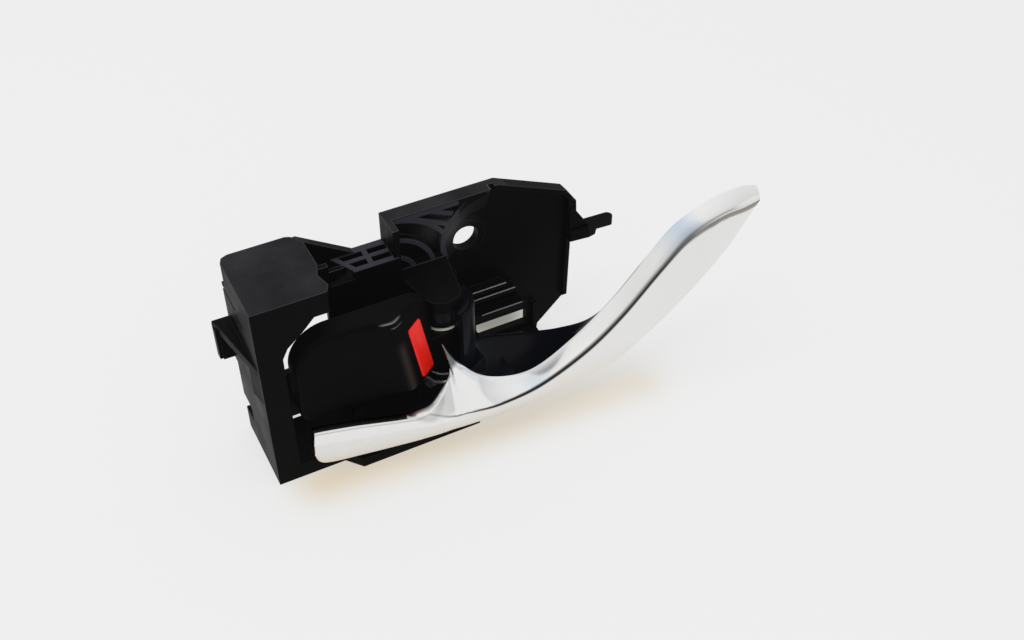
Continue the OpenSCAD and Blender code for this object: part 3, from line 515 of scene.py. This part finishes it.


# Lever: low edge, ridge and upper edge of the chrome face at given stations
tailKeys = [
    [[9.8, -4.2, 11], [10, -4.45, 15.6], [10.5, -4.5, 20.2]],
    [[12.4, -4.6, 7.3], [13, -4.85, 15], [13.5, -4.9, 20]],
    [[24, -6.4, 6.9], [23, -6.5, 13.8], [22, -6.2, 19.1]],
    [[37, -8.2, 6.8], [36, -8.4, 12.6], [34.5, -7.9, 16.9]],
    [[41, -8.8, 7], [40.2, -9.3, 12.4], [39.8, -7.7, 15.9]],
    [[44.6, -9.3, 7.2], [44.4, -10.1, 12.3], [44.6, -7.4, 17.8]],
    [[48.6, -9.7, 7.5], [49.6, -10.8, 13.2], [49.4, -6.8, 27.4]],
    [[51.5, -10, 7.5], [52.4, -11.1, 13.3], [47.5, -7, 39]]]
gripKeys = [
    [[51.5, -10, 7.5], [52.4, -11.1, 13.3], [47.5, -7, 39]],
    [[55, -10.2, 7.5], [55.4, -11.3, 13], [53.4, -6.5, 28]],
    [[62.5, -10.6, 7.5], [63, -11.9, 13], [62, -6, 19.3]],
    [[75, -10.8, 7.6], [75, -12.2, 15.3], [75, -5.6, 15.8]],
    [[90, -10.2, 8.7], [89.5, -11.6, 21.5], [88.5, -5.5, 22.4]],
    [[102, -9.7, 11.3], [101, -11.1, 30], [100, -5.4, 31.6]],
    [[115, -9.2, 19], [113, -10.7, 42.3], [111.5, -5.2, 43.6]],
    [[127, -8.7, 28.4], [121.5, -10.1, 49.5], [119.5, -5, 51.4]],
    [[137, -8.4, 38.6], [132, -9.5, 53], [130.5, -5.2, 56.4]],
    [[143, -8.1, 47], [140.5, -8.8, 53], [139.5, -5.6, 58]],
    [[146.2, -7.9, 52], [146, -8.2, 53.6], [145.5, -6, 57]]]
# Bulges are those at the middle of a facet, and the upper one is times the swell at the ridge's x. Over turnX
# the wall turns from straight back to downwards, and innerAt says where across it the inner numbers hold.
lever = {"stepsPerKey": 16, "faceT": 2.2, "coreGap": 0.12, "lowSteps": 26, "highSteps": 24, "edgeR": 0.35,
         "edgeStep": 0.3, "lowCrowd": 1.9, "highCrowd": 1.35, "lowBulge": [0, -0.25, -0.1],
         "highBulge": [0, -0.9375, 0.3125], "swell": ([36, 54], [0.06, 0.5]), "ridgePasses": 4,
         "turnX": [40, 58], "wallMost": 0.3, "wallShare": ([46.5, 49, 54, 57], [1, 0.35, 0.35, 1]),
         "innerAt": [0.33, 0.66, 1], "innerEdge": -0.5, "innerDown": [0.3, 0.7, 1],
         "innerLess": [0, 0.3, 0.7]}
# Positions across the two facets, closer together near the ridge
lowShare = 1 - (1 - np.arange(lever["lowSteps"]) / lever["lowSteps"])**lever["lowCrowd"]
highShare = np.linspace(0, 1, lever["highSteps"])**lever["highCrowd"]


def leverStations():
    n = lever["stepsPerKey"]
    tail = smoothCurve(tailKeys, np.arange((len(tailKeys) - 1) * n + 1) / n)
    grip = smoothCurve(gripKeys, np.arange((len(gripKeys) - 1) * n + 1) / n)
    return np.concatenate([tail, grip[1:]])


def faceProfile(s):
    # Outer line of the face from low edge over the ridge to the upper edge, as (stations, points, 3):
    # straight facets plus a bulge that goes as 4a(1-a), slight below, fuller above, nearly none on the tail
    low, ridge, high = s[:, 0], s[:, 1], s[:, 2]
    a, b = lowShare[None, :, None], highShare[None, :, None]
    swell = np.interp(ridge[:, 0], *lever["swell"])[:, None, None]
    lower = low[:, None] * (1 - a) + ridge[:, None] * a + 4 * a * (1 - a) * np.array(lever["lowBulge"])
    bulge = 4 * b * (1 - b) * swell * np.array(lever["highBulge"])
    upper = ridge[:, None] * (1 - b) + high[:, None] * b + bulge
    line = np.concatenate([lower, upper], 1)
    # Round the ridge a little: passes of a three-point mean on the points round it
    k = lever["lowSteps"]
    for _ in range(lever["ridgePasses"]):
        line[:, k - 2:k + 3] = (line[:, k - 3:k + 2] + 2 * line[:, k - 2:k + 3] + line[:, k - 1:k + 4]) / 4
    return line


def faceInner(s, outer, thick):
    # The wall goes straight back on the tail and turns downwards on the grip. v runs across the face, to the
    # ridge and on, and the first point of each line goes up on the tail too.
    w = np.interp(s[:, 1, 0], lever["turnX"], [0, 1])[:, None]
    t = np.minimum(thick, lever["wallMost"] * np.linalg.norm(s[:, 2] - s[:, 0], axis=1))[:, None]
    at = lever["innerAt"]
    v = np.concatenate([at[0] * lowShare, at[0] + (1 - at[0]) * highShare])[None, :]
    turned = np.where(v > 0, w, 1)
    down = np.interp(v, [0, *at], [lever["innerEdge"], *lever["innerDown"]]) * turned
    back = 1 - w * np.interp(v, at, lever["innerLess"])
    return outer + np.stack([np.zeros_like(down), t * back, -t * down], -1)


def window(x, rise, fall):
    # 1 between rise and fall, each a pair of places, with soft ends
    return ease(x, *rise) * (1 - ease(x, *fall))


# Painted reflections, painted glare and haze on the chrome, in millimetres, with x taken at the ridge. The
# line is the painted reflection of the dark room edge along the ridge: its width, how far its middle lies
# above the ridge and how dark it is. Every other mark has a share, and the places where it rises and falls.
chromeLightAndHaze = {"lineWidth": ([48, 56, 66, 80, 95, 112, 124, 134, 146],
                       [0.4, 0.6, 0.9, 1.5, 1.8, 2.1, 2.6, 2.4, 0.9]),
         "lineEdge": 0.62,
         "lineAbove": ([40, 44.4, 47, 49.6, 62, 80, 95, 112, 146],
                       [4.4, 2.6, 1.2, 0.3, 0.15, -0.1, -0.4, -0.7, -0.9]),
         "lineTone": ([40, 43, 48, 60, 112, 122, 132, 146], [0, 0.5, 0.9, 1.0, 1.0, 0.9, 0.5, 0.45]),
         "fade": 0.3, "fadeX": (104, 122), "fadeLess": 0.8, "fadeLessX": (123, 132), "fadeReach": 2.2,
         "brown": 0.34, "brownX": (120, 130), "brownUpper": (0.4, 0.9), "brownLower": (2.3, 2.7),
         "knobImage": 0.25, "knobImageX": ((43, 47.5), (48.5, 51)), "knobImageUp": (0.5, 3),
         "tip": 0.8, "tipX": (46, 58), "tipHeight": (29.5, 31.5),
         "lip": 0.35, "lipX": (38, 44), "lipAt": 0.95, "lipReach": 0.28,
         "blue": 0.9, "blueAt": (74, 122), "blueReach": 4, "blueTop": (0.2, 2),
         "sky": 0.45, "skyX": ((50, 54), (60, 66)), "skyTop": (3.2, 4),
         "hazeBase": 0.35, "hazeMore": 0.5, "hazeMoreX": (84, 120), "tailEnd": 46,
         "warmTip": 0.15, "warmTipX": (118, 146), "warmLow": 0.08, "warmBrown": 0.7,
         "aboveLine": 0.7, "topGlare": 0.85, "topGlareX": ((55, 63), (96, 118)), "topGlareReach": 3.4,
         "bend": 0.55, "bendX": ((55, 61), (70, 92)),
         "crease": 0.78, "creaseX": ((48.8, 49.8), (52, 54.5)), "creaseHeight": (28, 30),
         "rim": 0.8, "rimX": ((38, 42), (48, 50)), "rimWidth": 0.6,
         "low": ([60, 80, 100, 120, 146], [0, 0.15, 0.4, 0.6, 0.6]),
         "end": 0.6, "endX": (125, 134), "endUp": (1.0, 2.2),
         "inner": 0.95, "innerX": (46, 52)}


def chromeLightAndHazeOf(s, outer):
    # Attributes of the outer side. run goes across the face from its low edge, up is the way above the ridge
    # and toTop the way left to the upper edge.
    m, k = chromeLightAndHaze, lever["lowSteps"]
    step = np.linalg.norm(np.diff(outer, axis=1), axis=2)
    run = np.concatenate([np.zeros((len(s), 1)), np.cumsum(step, 1)], 1)
    up, toTop, height = run - run[:, k:k + 1], run[:, -1:] - run, outer[:, :, 2]
    x = s[:, 1, 0][:, None] + 0 * run
    curves = ("lineWidth", "lineAbove", "lineTone", "low")
    width, middle, dark, low = (np.interp(x, *m[key]) for key in curves)
    line = dark * np.exp(-np.abs((up - middle) / (m["lineEdge"] * width))**3)
    # Above the ridge the line fades softly on the last third, and under it a brownish band, a painted
    # reflection, runs to the tip
    fade = m["fade"] * ease(x, *m["fadeX"]) * (1 - m["fadeLess"] * ease(x, *m["fadeLessX"]))
    fade = fade * np.exp(-(np.maximum(up, 0) / m["fadeReach"])**2)
    brown = ease(x, *m["brownX"]) * window(-up, m["brownUpper"], m["brownLower"])
    # Painted reflections: the knob's mirror image on the horn's left flank, the horn's dark tip, a soft dark
    # line under the tail's rim
    image = window(x, *m["knobImageX"]) * ease(up, *m["knobImageUp"])
    tip = ease(height, *m["tipHeight"]) * (x > m["tipX"][0]) * (x < m["tipX"][1])
    lip = np.exp(-((toTop - m["lipAt"]) / m["lipReach"])**2) * (1 - ease(x, *m["lipX"]))
    others = [m["brown"] * brown, m["knobImage"] * image, m["tip"] * tip, m["lip"] * lip]
    tone = np.maximum.reduce([line, fade, *others])
    # Painted reflections: two blue spots on the upper facet, and a pale blue on the horn
    spots = [m["blue"] * np.exp(-((x - at) / m["blueReach"])**2) * (up > 0) for at in m["blueAt"]]
    cool = spots[0] * ease(toTop, *m["blueTop"]) + spots[1]
    cool += m["sky"] * window(x, *m["skyX"]) * (1 - ease(toTop, *m["skyTop"]))
    # haze: rougher, with darker blotches, on the low facet, more towards the tip, and on the tail
    haze = (up < 0) * (m["hazeBase"] + m["hazeMore"] * ease(x, *m["hazeMoreX"])) + (x < m["tailEnd"]) * m["hazeBase"]
    # warm: painted warm reflection towards the tip, on the low facet and in the brownish band
    warm = m["warmTip"] * ease(x, *m["warmTipX"]) + m["warmLow"] * (up < 0) + m["warmBrown"] * brown
    # Painted glare on the upper facet, in the horn's crease, on the tail's rim, on the low facet, at the
    # grip's end
    above = up > middle + m["aboveLine"] * width
    top = m["topGlare"] * np.exp(-(toTop / m["topGlareReach"])**2) * window(x, *m["topGlareX"]) * above
    bend = m["bend"] * window(x, *m["bendX"]) * above
    crease = m["crease"] * window(x, *m["creaseX"]) * above * (1 - ease(height, *m["creaseHeight"]))
    rim = m["rim"] * (toTop < m["rimWidth"]) * window(x, *m["rimX"])
    below = low * (up < 0) * (1 - tone) * (1 - brown)
    end = m["end"] * ease(x, *m["endX"]) * ease(up - middle, *m["endUp"])
    lift = np.maximum.reduce([top, bend, crease, rim, below, end])
    return {"tone": tone, "cool": cool, "haze": haze, "warm": warm, "lift": lift}


def makeLeverFace():
    s = leverStations()
    outer = faceProfile(s)
    # The wall is thin in the horn, where the two flanks lie back to back
    inner = faceInner(s, outer, lever["faceT"] * np.interp(s[:, 1, 0], *lever["wallShare"]))
    # Round both lips: the end points of the outer line step in by a share of edgeR
    r = lever["edgeR"] * lever["edgeStep"]
    lipped = outer.copy()
    for end, nxt in ((0, 1), (-1, -2)):
        over = outer[:, nxt] - outer[:, end]
        over /= np.linalg.norm(over, axis=1)[:, None]
        back = inner[:, end] - outer[:, end]
        back /= np.linalg.norm(back, axis=1)[:, None]
        lipped[:, end] = outer[:, end] + r * over + r * back
    rings = np.concatenate([lipped, inner[:, ::-1]], 1)
    # The inner side has no marks, but painted shade darkens it on the tail, under the knob
    plain = np.zeros(outer.shape[:2])
    shadeUnderKnob = plain + chromeLightAndHaze["inner"] * (1 - ease(s[:, 1, :1], *chromeLightAndHaze["innerX"]))
    full = {}
    for key, values in chromeLightAndHazeOf(s, outer).items():
        full[key] = np.concatenate([np.clip(values, 0, 1), shadeUnderKnob if key == "tone" else plain], 1)
    obj = loftMesh("leverFace", rings, full, sharp=40)
    obj.data.materials.append(chromeMat)
    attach(obj, "lever")
    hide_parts("pull_lever")


makeLeverFace()
stageDone("lever face")

# Arm, hub and drum behind the chrome face. For the grip's second station to the last but one: how far the
# scooped top's rear edge lies from the face's inner upper edge, and the rear low edge from its low edge.
armReach = [
    [[9.8, 5.4, -3], [8.2, 7.7, -0.5]],
    [[3, 16.3, 3], [2.5, 19.3, -0.7]],
    [[2, 16.4, 2.5], [2, 20, -0.8]],
    [[2.5, 13.1, -5.8], [1, 14.9, -0.4]],
    [[1, 8.3, -10.1], [-0.5, 9.4, 0.5]],
    [[-1.5, 2.8, -5.5], [-3, 3.2, 5]],
    [[-1, 1.8, -2.6], [-3, 1.7, 4]],
    [[-0.8, 1.6, -1.8], [-2.4, 1.6, 3.6]],
    [[-0.5, 1.2, -1.2], [-1.4, 1.2, 2]]]
arm = {"sagMost": 1.6, "sagShare": 1 / 8, "scoopSteps": 26, "backSteps": 18, "lowSteps": 20,
       "softFrom": 14, "softTo": 6, "softPasses": 14,
       "tail": [[12, -1.6], [24, -3.6], [37, -5.4], [47, -6.8], [54, -6.8], [54, 3], [48, 3], [37, -2.6],
                [24, -0.8], [12, 1.2]],
       "tailRound": 0.8, "tailHeights": (6.9, 13.5),
       "root": [[48, -6.8], [58, -5], [71, -4], [71, 8], [60, 12], [54, 12], [48, -3]],
       "rootRound": 2.0, "rootHeights": (9.2, 14.2),
       "crankR": 5, "crankReach": 9, "crankEndR": 3.2, "crankHeights": (3.5, 7.9)}
hub = {"pin": (54.0, 8.0), "low": 3.5, "coil": 9.3, "lowTop": 15.6, "earLow": 34.0, "earTop": 39.6,
       "bore": 3.57, "radius": 8.0, "neck": 4.76, "ear": 5.26, "drumIn": 7.6, "drumOut": 9.2,
       "drumFrom": -75, "drumSweep": 95, "lap": 0.5, "webLap": 0.4, "webGap": 0.02}


def along(a, b, count):
    t = np.linspace(0, 1, count, endpoint=False)[None, :, None]
    return a[:, None] * (1 - t) + b[:, None] * t


def arcPoints(centre, r, start, end, count=24):
    angles = np.radians(np.linspace(start, end, count))
    return [centre + r * np.array([math.cos(a), math.sin(a)]) for a in angles]


def armRing():
    # Closed rings of the arm: along the face's inner side at a small gap, the scooped top, back and low side
    n = lever["stepsPerKey"]
    at = np.arange((len(armReach) - 1) * n + 1) / n
    s = smoothCurve(gripKeys, at + 1)
    front = faceInner(s, faceProfile(s), lever["faceT"] + lever["coreGap"])[:, ::2]
    reach = smoothCurve(armReach, at)
    top, low = front[:, -1] + reach[:, 0], front[:, 0] + reach[:, 1]
    # Scooped top: a quadratic curve that sags by a share of its width
    sag = np.minimum(arm["sagMost"], np.linalg.norm(front[:, -1] - top, axis=1) * arm["sagShare"])
    t = np.linspace(0, 1, arm["scoopSteps"])[None, 1:, None]
    middle = (front[:, -1] + top) / 2
    middle[:, 2] -= 2 * sag
    scoop = (1 - t)**2 * front[:, -1][:, None] + 2 * t * (1 - t) * middle[:, None] + t**2 * top[:, None]
    back = along(top, low, arm["backSteps"])[:, 1:]
    ring = np.concatenate([front, scoop, back, along(low, front[:, 0], arm["lowSteps"])], 1)
    # Soft rear rims: a three-point mean over the back of the ring, repeated
    first, last = front.shape[1] + arm["softFrom"], ring.shape[1] - arm["softTo"]
    for _ in range(arm["softPasses"]):
        before, after = ring[:, first - 1:last - 1], ring[:, first + 1:last + 1]
        ring[:, first:last] = (before + 2 * ring[:, first:last] + after) / 4
    return ring


def makeLeverArm():
    h, pin = hub, np.array(hub["pin"])
    crank = arcPoints(pin, arm["crankR"], 180, 360)
    crank += arcPoints(pin + [0, arm["crankReach"]], arm["crankEndR"], 0, 180)
    drum = (h["drumFrom"], h["drumSweep"])
    shells = [ringShell(armRing()),
              turnedPiece(pin, h["bore"], h["radius"], h["low"], h["coil"] + h["lap"]),
              turnedPiece(pin, h["bore"], h["neck"], h["coil"], h["lowTop"]),
              turnedPiece(pin, h["bore"], h["ear"], h["earLow"], h["earTop"]),
              turnedPiece(pin, h["drumIn"], h["drumOut"], h["coil"], h["earTop"], *drum),
              turnedPiece(pin, h["neck"], h["drumIn"] + h["webLap"], h["earLow"], h["earTop"] - h["webGap"],
                          *drum),
              prism(roundPath(arm["tail"], arm["tailRound"]), *arm["tailHeights"]),
              prism(roundPath(arm["root"], arm["rootRound"]), *arm["rootHeights"]),
              prism(crank, *arm["crankHeights"])]
    obj = joinShells("leverArm", shells, sharp=50)
    obj.data.materials.append(coreMat)
    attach(obj, "lever")
    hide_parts("lever_core")


makeLeverArm()
stageDone("lever arm")


# Knob cap. sideX and sideY are where its front bends to the slanted side, and turn, lean and bendFrom are in
# degrees. swell is the front's depth at places across it, corners are the outline's corner circles (x, z,
# radius), heart is the spot that its front rings shrink to, and a glint, a painted highlight, has x, z, half
# length and half width.
knob = {"left": 8.8, "right": 48.6, "low": 21.2, "top": 49.2, "rear": 5.0, "wall": 2.0, "edgeR": 1.5,
        "sideX": 39.6, "sideY": -3.6, "turn": 31.2, "lean": 9.0, "bend": 3.0, "bendIn": 2.4, "bendFrom": 10,
        "swellAt": [2.8, 12, 20, 30, 36.7], "swell": [[-1.4], [-1.25], [-1.2], [-1.9], [-3.55]],
        "dishAt": (24.0, 36.0), "dishR": 6.0, "dishDepth": 0.35, "heart": (27.0, 35.0), "nearHeart": 0.996,
        "rimIn": 2.4, "frontRings": 64, "rimRings": 4, "edgeRings": 9, "backShares": (0.1, 0.4, 0.7, 0.99),
        "notchX": 43.2, "notchZ": 32.8, "notchRear": 1.6, "lipLeast": 0.15, "wallLap": 0.6,
        "sheenAt": 38.2, "sheenReach": 1.1, "sheenTop": (37, 42), "glintDepth": -0.8, "glintSlope": 0.04,
        "glints": ((35.0, 48.6, 2.8, 0.16), (36.6, 46.9, 1.6, 0.14))}
knob["middle"] = (knob["top"] + knob["low"]) / 2
knob["corners"] = np.array([[knob["left"] + 11, knob["top"] - 11, 11], [knob["left"] + 3, knob["low"] + 3, 3],
                            [knob["right"] - 1.2, knob["low"] + 2.6, 2.6],
                            [knob["right"] - 6.5, knob["top"] - 6.5, 6.5]])
# The bend's axis, across and in depth
bendX, bendY = knob["sideX"] - knob["bendIn"], knob["sideY"] + knob["bend"]


def knobAcross(x, z):
    # Place across the knob's front, measured level with its leaning edges
    lean = math.radians(knob["lean"])
    return knob["sideX"] + math.cos(lean) * (x - knob["sideX"]) + math.sin(lean) * (z - knob["middle"])


def knobFront(x, z):
    # Depth of the knob's front: a soft swell, an arc of radius bend, then a plane turned by turn; all leaning
    k, r, turn = knob, knob["bend"], math.radians(knob["turn"])
    across = knobAcross(x, z)
    at = np.linspace(k["swellAt"][0], k["swellAt"][-1], 80)
    keys = np.interp(at, k["swellAt"], np.arange(len(k["swell"])))
    swell = np.interp(across, at, smoothCurve(k["swell"], keys)[:, 0])
    arc = bendY - np.sqrt(np.maximum(r * r - (across - bendX)**2, 0.01))
    edgeX = bendX + r * math.sin(turn)
    plane = bendY - r * math.cos(turn) + (across - edgeX) * math.tan(turn)
    bent = np.where(across < edgeX, arc, plane)
    y = np.where(across < bendX - r * math.sin(math.radians(k["bendFrom"])), swell, bent)
    far = np.hypot(x - k["dishAt"][0], z - k["dishAt"][1]) / k["dishR"]
    return y + k["dishDepth"] * np.exp(-far**2)


def knobOutline(count=400):
    # Hull of the corner circles: in direction u its point is the farthest c + r u. Gives points and normals.
    discs = knob["corners"]
    a = np.linspace(0, 2 * np.pi, 721)
    u = np.stack([np.cos(a), np.sin(a)], 1)
    best = np.argmax(u @ discs[:, :2].T + discs[:, 2], 1)
    p = discs[best, :2] + discs[best, 2:] * u
    run = np.concatenate([[0], np.cumsum(np.linalg.norm(np.diff(p, axis=0), axis=1))])
    at = np.linspace(0, run[-1], count, endpoint=False)
    return tuple(np.stack([np.interp(at, run, v[:, i]) for i in (0, 1)], 1) for v in (p, u))


def shrunk(t, start):
    # From the ring start in by the share t towards one spot
    return start * (1 - t) + np.array(knob["heart"]) * t


def onFront(flat, deeper=0.0):
    return np.column_stack([flat[:, 0], knobFront(flat[:, 0], flat[:, 1]) + deeper, flat[:, 1]])


def atDepth(flat, y):
    return np.column_stack([flat[:, 0], y, flat[:, 1]])


def knobRings():
    # Rings from the middle of the front over the round edge to the rear, and back inside the wall
    p, u = knobOutline()
    k, r = knob, knob["edgeR"]
    shares = np.linspace(k["nearHeart"], 0, k["frontRings"])[:-1]
    rings = [onFront(shrunk(t, p - k["rimIn"] * u)) for t in shares]
    rings += [onFront(p - d * u) for d in np.linspace(k["rimIn"], r, k["rimRings"])[:-1]]
    # Round edge: in by r(1 - sin a), back by r(1 - cos a)
    for a in np.radians(np.linspace(0, 90, k["edgeRings"])):
        rings.append(onFront(p - r * (1 - math.sin(a)) * u, r * (1 - math.cos(a))))
    # The rear rim stands further forward at the low right corner, beside the horn
    notch = (p[:, 0] > k["notchX"]) & (p[:, 1] < k["notchZ"])
    rear = np.maximum(np.where(notch, k["notchRear"], k["rear"]), rings[-1][:, 1] + k["lipLeast"])
    inner = p - k["wall"] * u
    rings += [atDepth(p, rear), atDepth(inner, rear)]
    front = knobFront(inner[:, 0], inner[:, 1])
    rings.append(atDepth(inner, np.minimum(front + k["wall"] + k["wallLap"], rear)))
    rings += [onFront(shrunk(t, inner), k["wall"]) for t in k["backShares"]]
    return np.stack(rings)


def makeKnob():
    k, rings = knob, knobRings()
    x, y, z = rings[..., 0], rings[..., 1], rings[..., 2]
    # Painted highlights: a warm sheen down the bend, and two bright glints
    sheenLine = np.exp(-((knobAcross(x, z) - k["sheenAt"]) / k["sheenReach"])**2)
    warm = sheenLine * (1 - ease(z, *k["sheenTop"])) * (y < 0)
    glint = 0
    for gx, gz, half, thin in k["glints"]:
        rise = (z - gz - k["glintSlope"] * (x - gx)) / thin
        glint = glint + np.exp(-((x - gx) / half)**6) * np.exp(-rise**2) * (y < k["glintDepth"])
    obj = loftMesh("knobCap", rings, {"warm": warm, "glint": np.clip(glint, 0, 1)}, sharp=40)
    obj.data.materials.append(knobBlack)
    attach(obj, "knob")
    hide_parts("lock_knob")


# Red insert in the knob's slanted side. front, along and drop place it there, twist is in degrees.
red = {"width": 5.2, "length": 19.5, "front": -0.45, "depth": 1.15, "along": 5.7, "drop": -2.7, "twist": 1.8,
       "edgeR": 0.3, "cornerR": 0.9}


def turnMatrix(axis, degrees):
    c, s = math.cos(math.radians(degrees)), math.sin(math.radians(degrees))
    if axis == "y":
        return np.array([[c, 0, s], [0, 1, 0], [-s, 0, c]])
    return np.array([[c, -s, 0], [s, c, 0], [0, 0, 1]])


def makeRedInsert():
    w, l, r = red["width"] / 2, red["length"] / 2, red["edgeR"]
    outline = roundPath([[-w, -l], [w, -l], [w, l], [-w, l]], red["cornerR"])
    # Levels from the seat to the front (height, inset), the front edge round in three steps
    low = red["depth"] - r
    levels = [(0, 0), (low, 0)]
    levels += [(low + r * math.sin(a), r * (1 - math.cos(a))) for a in np.radians([30, 60, 90])]
    flats = [movedIn(outline, d) if d else outline for _, d in levels]
    rings = np.stack([atDepth(flat, np.full(len(flat), red["front"] + red["depth"] - h))
                      for flat, (h, _) in zip(flats, levels)])
    # Twisted and turned on the slanted side, then leaned with the knob
    t = math.radians(knob["turn"])
    start = np.array([bendX + knob["bend"] * math.sin(t), bendY - knob["bend"] * math.cos(t)])
    spot = start + red["along"] * np.array([math.cos(t), math.sin(t)])
    local = rings @ (turnMatrix("z", knob["turn"]) @ turnMatrix("y", -red["twist"])).T
    local += np.array([spot[0] - knob["sideX"], spot[1], red["drop"]])
    rings = local @ turnMatrix("y", -knob["lean"]).T + np.array([knob["sideX"], 0, knob["middle"]])
    verts, quads, caps = ringShell(rings, True)
    obj = buildMesh("redInsert", verts, quads, caps, {}, sharp=40)
    obj.data.materials.append(redMat)
    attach(obj, "knob")
    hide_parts("lock_indicator")


makeKnob()
makeRedInsert()
stageDone("knob")

# Floor and light. Places are in the corner frame in millimetres, the rest is in metres.
stage = {"size": 3.0, "drop": 0.0002, "roughness": 0.9, "floorTone": 0.82, "shadowShare": 0.22,
         "ownLight": 0.655, "background": 0.847, "sky": 0.62, "skyLow": 0.75, "skyHigh": 1.5, "skyFrom": -0.2,
         "glowTone": (0.92, 0.82, 0.66), "glowFrom": (11.0, -4.5, 0.0), "glowTo": (108.0, -11.5, 0.0),
         "glowReach": 7.5, "glowLess": 0.45,
         "shadeAt": (82.0, 33.0, 0.0), "shadeReach": (12.0, 6.5, 100.0), "shadeTone": (0.36, 0.35, 0.31)}
keyLight = {"at": (-0.3, -0.05, 0.9), "size": 0.6, "power": 4.0}


def floorTint(tree):
    # Colour of the floor, which lies level at its object's origin, so heights count as 0
    where = objectPlace(tree)
    # Warm light that the lever throws on the floor: a band round a line, falling as exp(-distance^2)
    start, end = toFrame(stage["glowFrom"]) * (1, 1, 0), toFrame(stage["glowTo"]) * (1, 1, 0)
    run = end - start
    ahead = vectorNode(tree, "DOT_PRODUCT", vectorNode(tree, "SUBTRACT", where, start), run)
    share = mathNode(tree, "DIVIDE", ahead, float(run @ run), clamp=True)
    joined = tree.nodes.new("ShaderNodeCombineXYZ")
    for i in range(3):
        tree.links.new(share, joined.inputs[i])
    foot = vectorNode(tree, "ADD", vectorNode(tree, "MULTIPLY", joined.outputs[0], run), start)
    far = mathNode(tree, "DIVIDE", vectorNode(tree, "DISTANCE", where, foot), stage["glowReach"] * mm)
    weaker = mathNode(tree, "SUBTRACT", 1.0, product(tree, share, stage["glowLess"]))
    glow = product(tree, falloff(tree, far), weaker)
    # The grey shade behind the low window falls as exp(-distance^4)
    far = reachesFrom(tree, where, toFrame(stage["shadeAt"]) * (1, 1, 0), stage["shadeReach"])
    shade = falloff(tree, product(tree, far, far))
    warmed = mixColour(tree, glow, (1.0, 1.0, 1.0), stage["glowTone"])
    return mixColour(tree, shade, warmed, stage["shadeTone"])


def makeFloor():
    size = stage["size"]
    corners = [(-size, -size, 0), (size, -size, 0), (size, size, 0), (-size, size, 0)]
    mesh = bpy.data.meshes.new("floor")
    mesh.from_pydata(corners, [], [(0, 1, 2, 3)])
    obj = bpy.data.objects.new("floor", mesh)
    obj.location = (0, 0, floorHeight - stage["drop"])
    bpy.context.collection.objects.link(obj)
    mat, tree, shader = newMaterial("paleFloor", (1, 1, 1), stage["roughness"], specular=0.0)
    tint = floorTint(tree)
    tone = stage["floorTone"] * stage["shadowShare"]
    tree.links.new(vectorNode(tree, "MULTIPLY", tint, (tone,) * 3), shader.inputs["Base Color"])
    tree.links.new(tint, shader.inputs["Emission Color"])
    shader.inputs["Emission Strength"].default_value = stage["ownLight"]
    obj.data.materials.append(mat)


def makeSky():
    world = bpy.data.worlds.new("studio")
    bpy.context.scene.world = world
    world.use_nodes = True
    tree = world.node_tree
    sky = tree.nodes["Background"]
    # The camera sees an even pale ground, while the light comes from a sky that is brighter overhead
    incoming = tree.nodes.new("ShaderNodeNewGeometry").outputs["Incoming"]
    up = mathNode(tree, "MULTIPLY", axesOf(tree, incoming)["Z"], -1.0)
    low, high = stage["sky"] * stage["skyLow"], stage["sky"] * stage["skyHigh"]
    light = mapRange(tree, up, stage["skyFrom"], 1.0, low, high)
    path = tree.nodes.new("ShaderNodeLightPath")
    seen = tree.nodes.new("ShaderNodeMix")
    seen.data_type = "FLOAT"
    tree.links.new(path.outputs["Is Camera Ray"], seen.inputs[0])
    tree.links.new(light, seen.inputs[2])
    seen.inputs[3].default_value = stage["background"]
    sky.inputs["Color"].default_value = (1, 1, 1, 1)
    tree.links.new(seen.outputs[0], sky.inputs["Strength"])


def makeKeyLight():
    # A soft square light from the upper left that isn't mirrored in the chrome, aimed at the frame's origin
    data = bpy.data.lights.new("keyLight", "AREA")
    data.size, data.energy = keyLight["size"], keyLight["power"]
    obj = bpy.data.objects.new("keyLight", data)
    spot = np.array(keyLight["at"])
    aim = spot / np.linalg.norm(spot)
    side = np.cross([0, 1, 0], aim)
    side /= np.linalg.norm(side)
    up = np.cross(aim, side)
    obj.matrix_world = Matrix([[side[i], up[i], aim[i], spot[i]] for i in range(3)] + [[0, 0, 0, 1]])
    obj.visible_glossy = False
    bpy.context.collection.objects.link(obj)


makeFloor()
makeSky()
makeKeyLight()
bpy.context.scene.view_settings.view_transform = "Standard"
stageDone("stage")
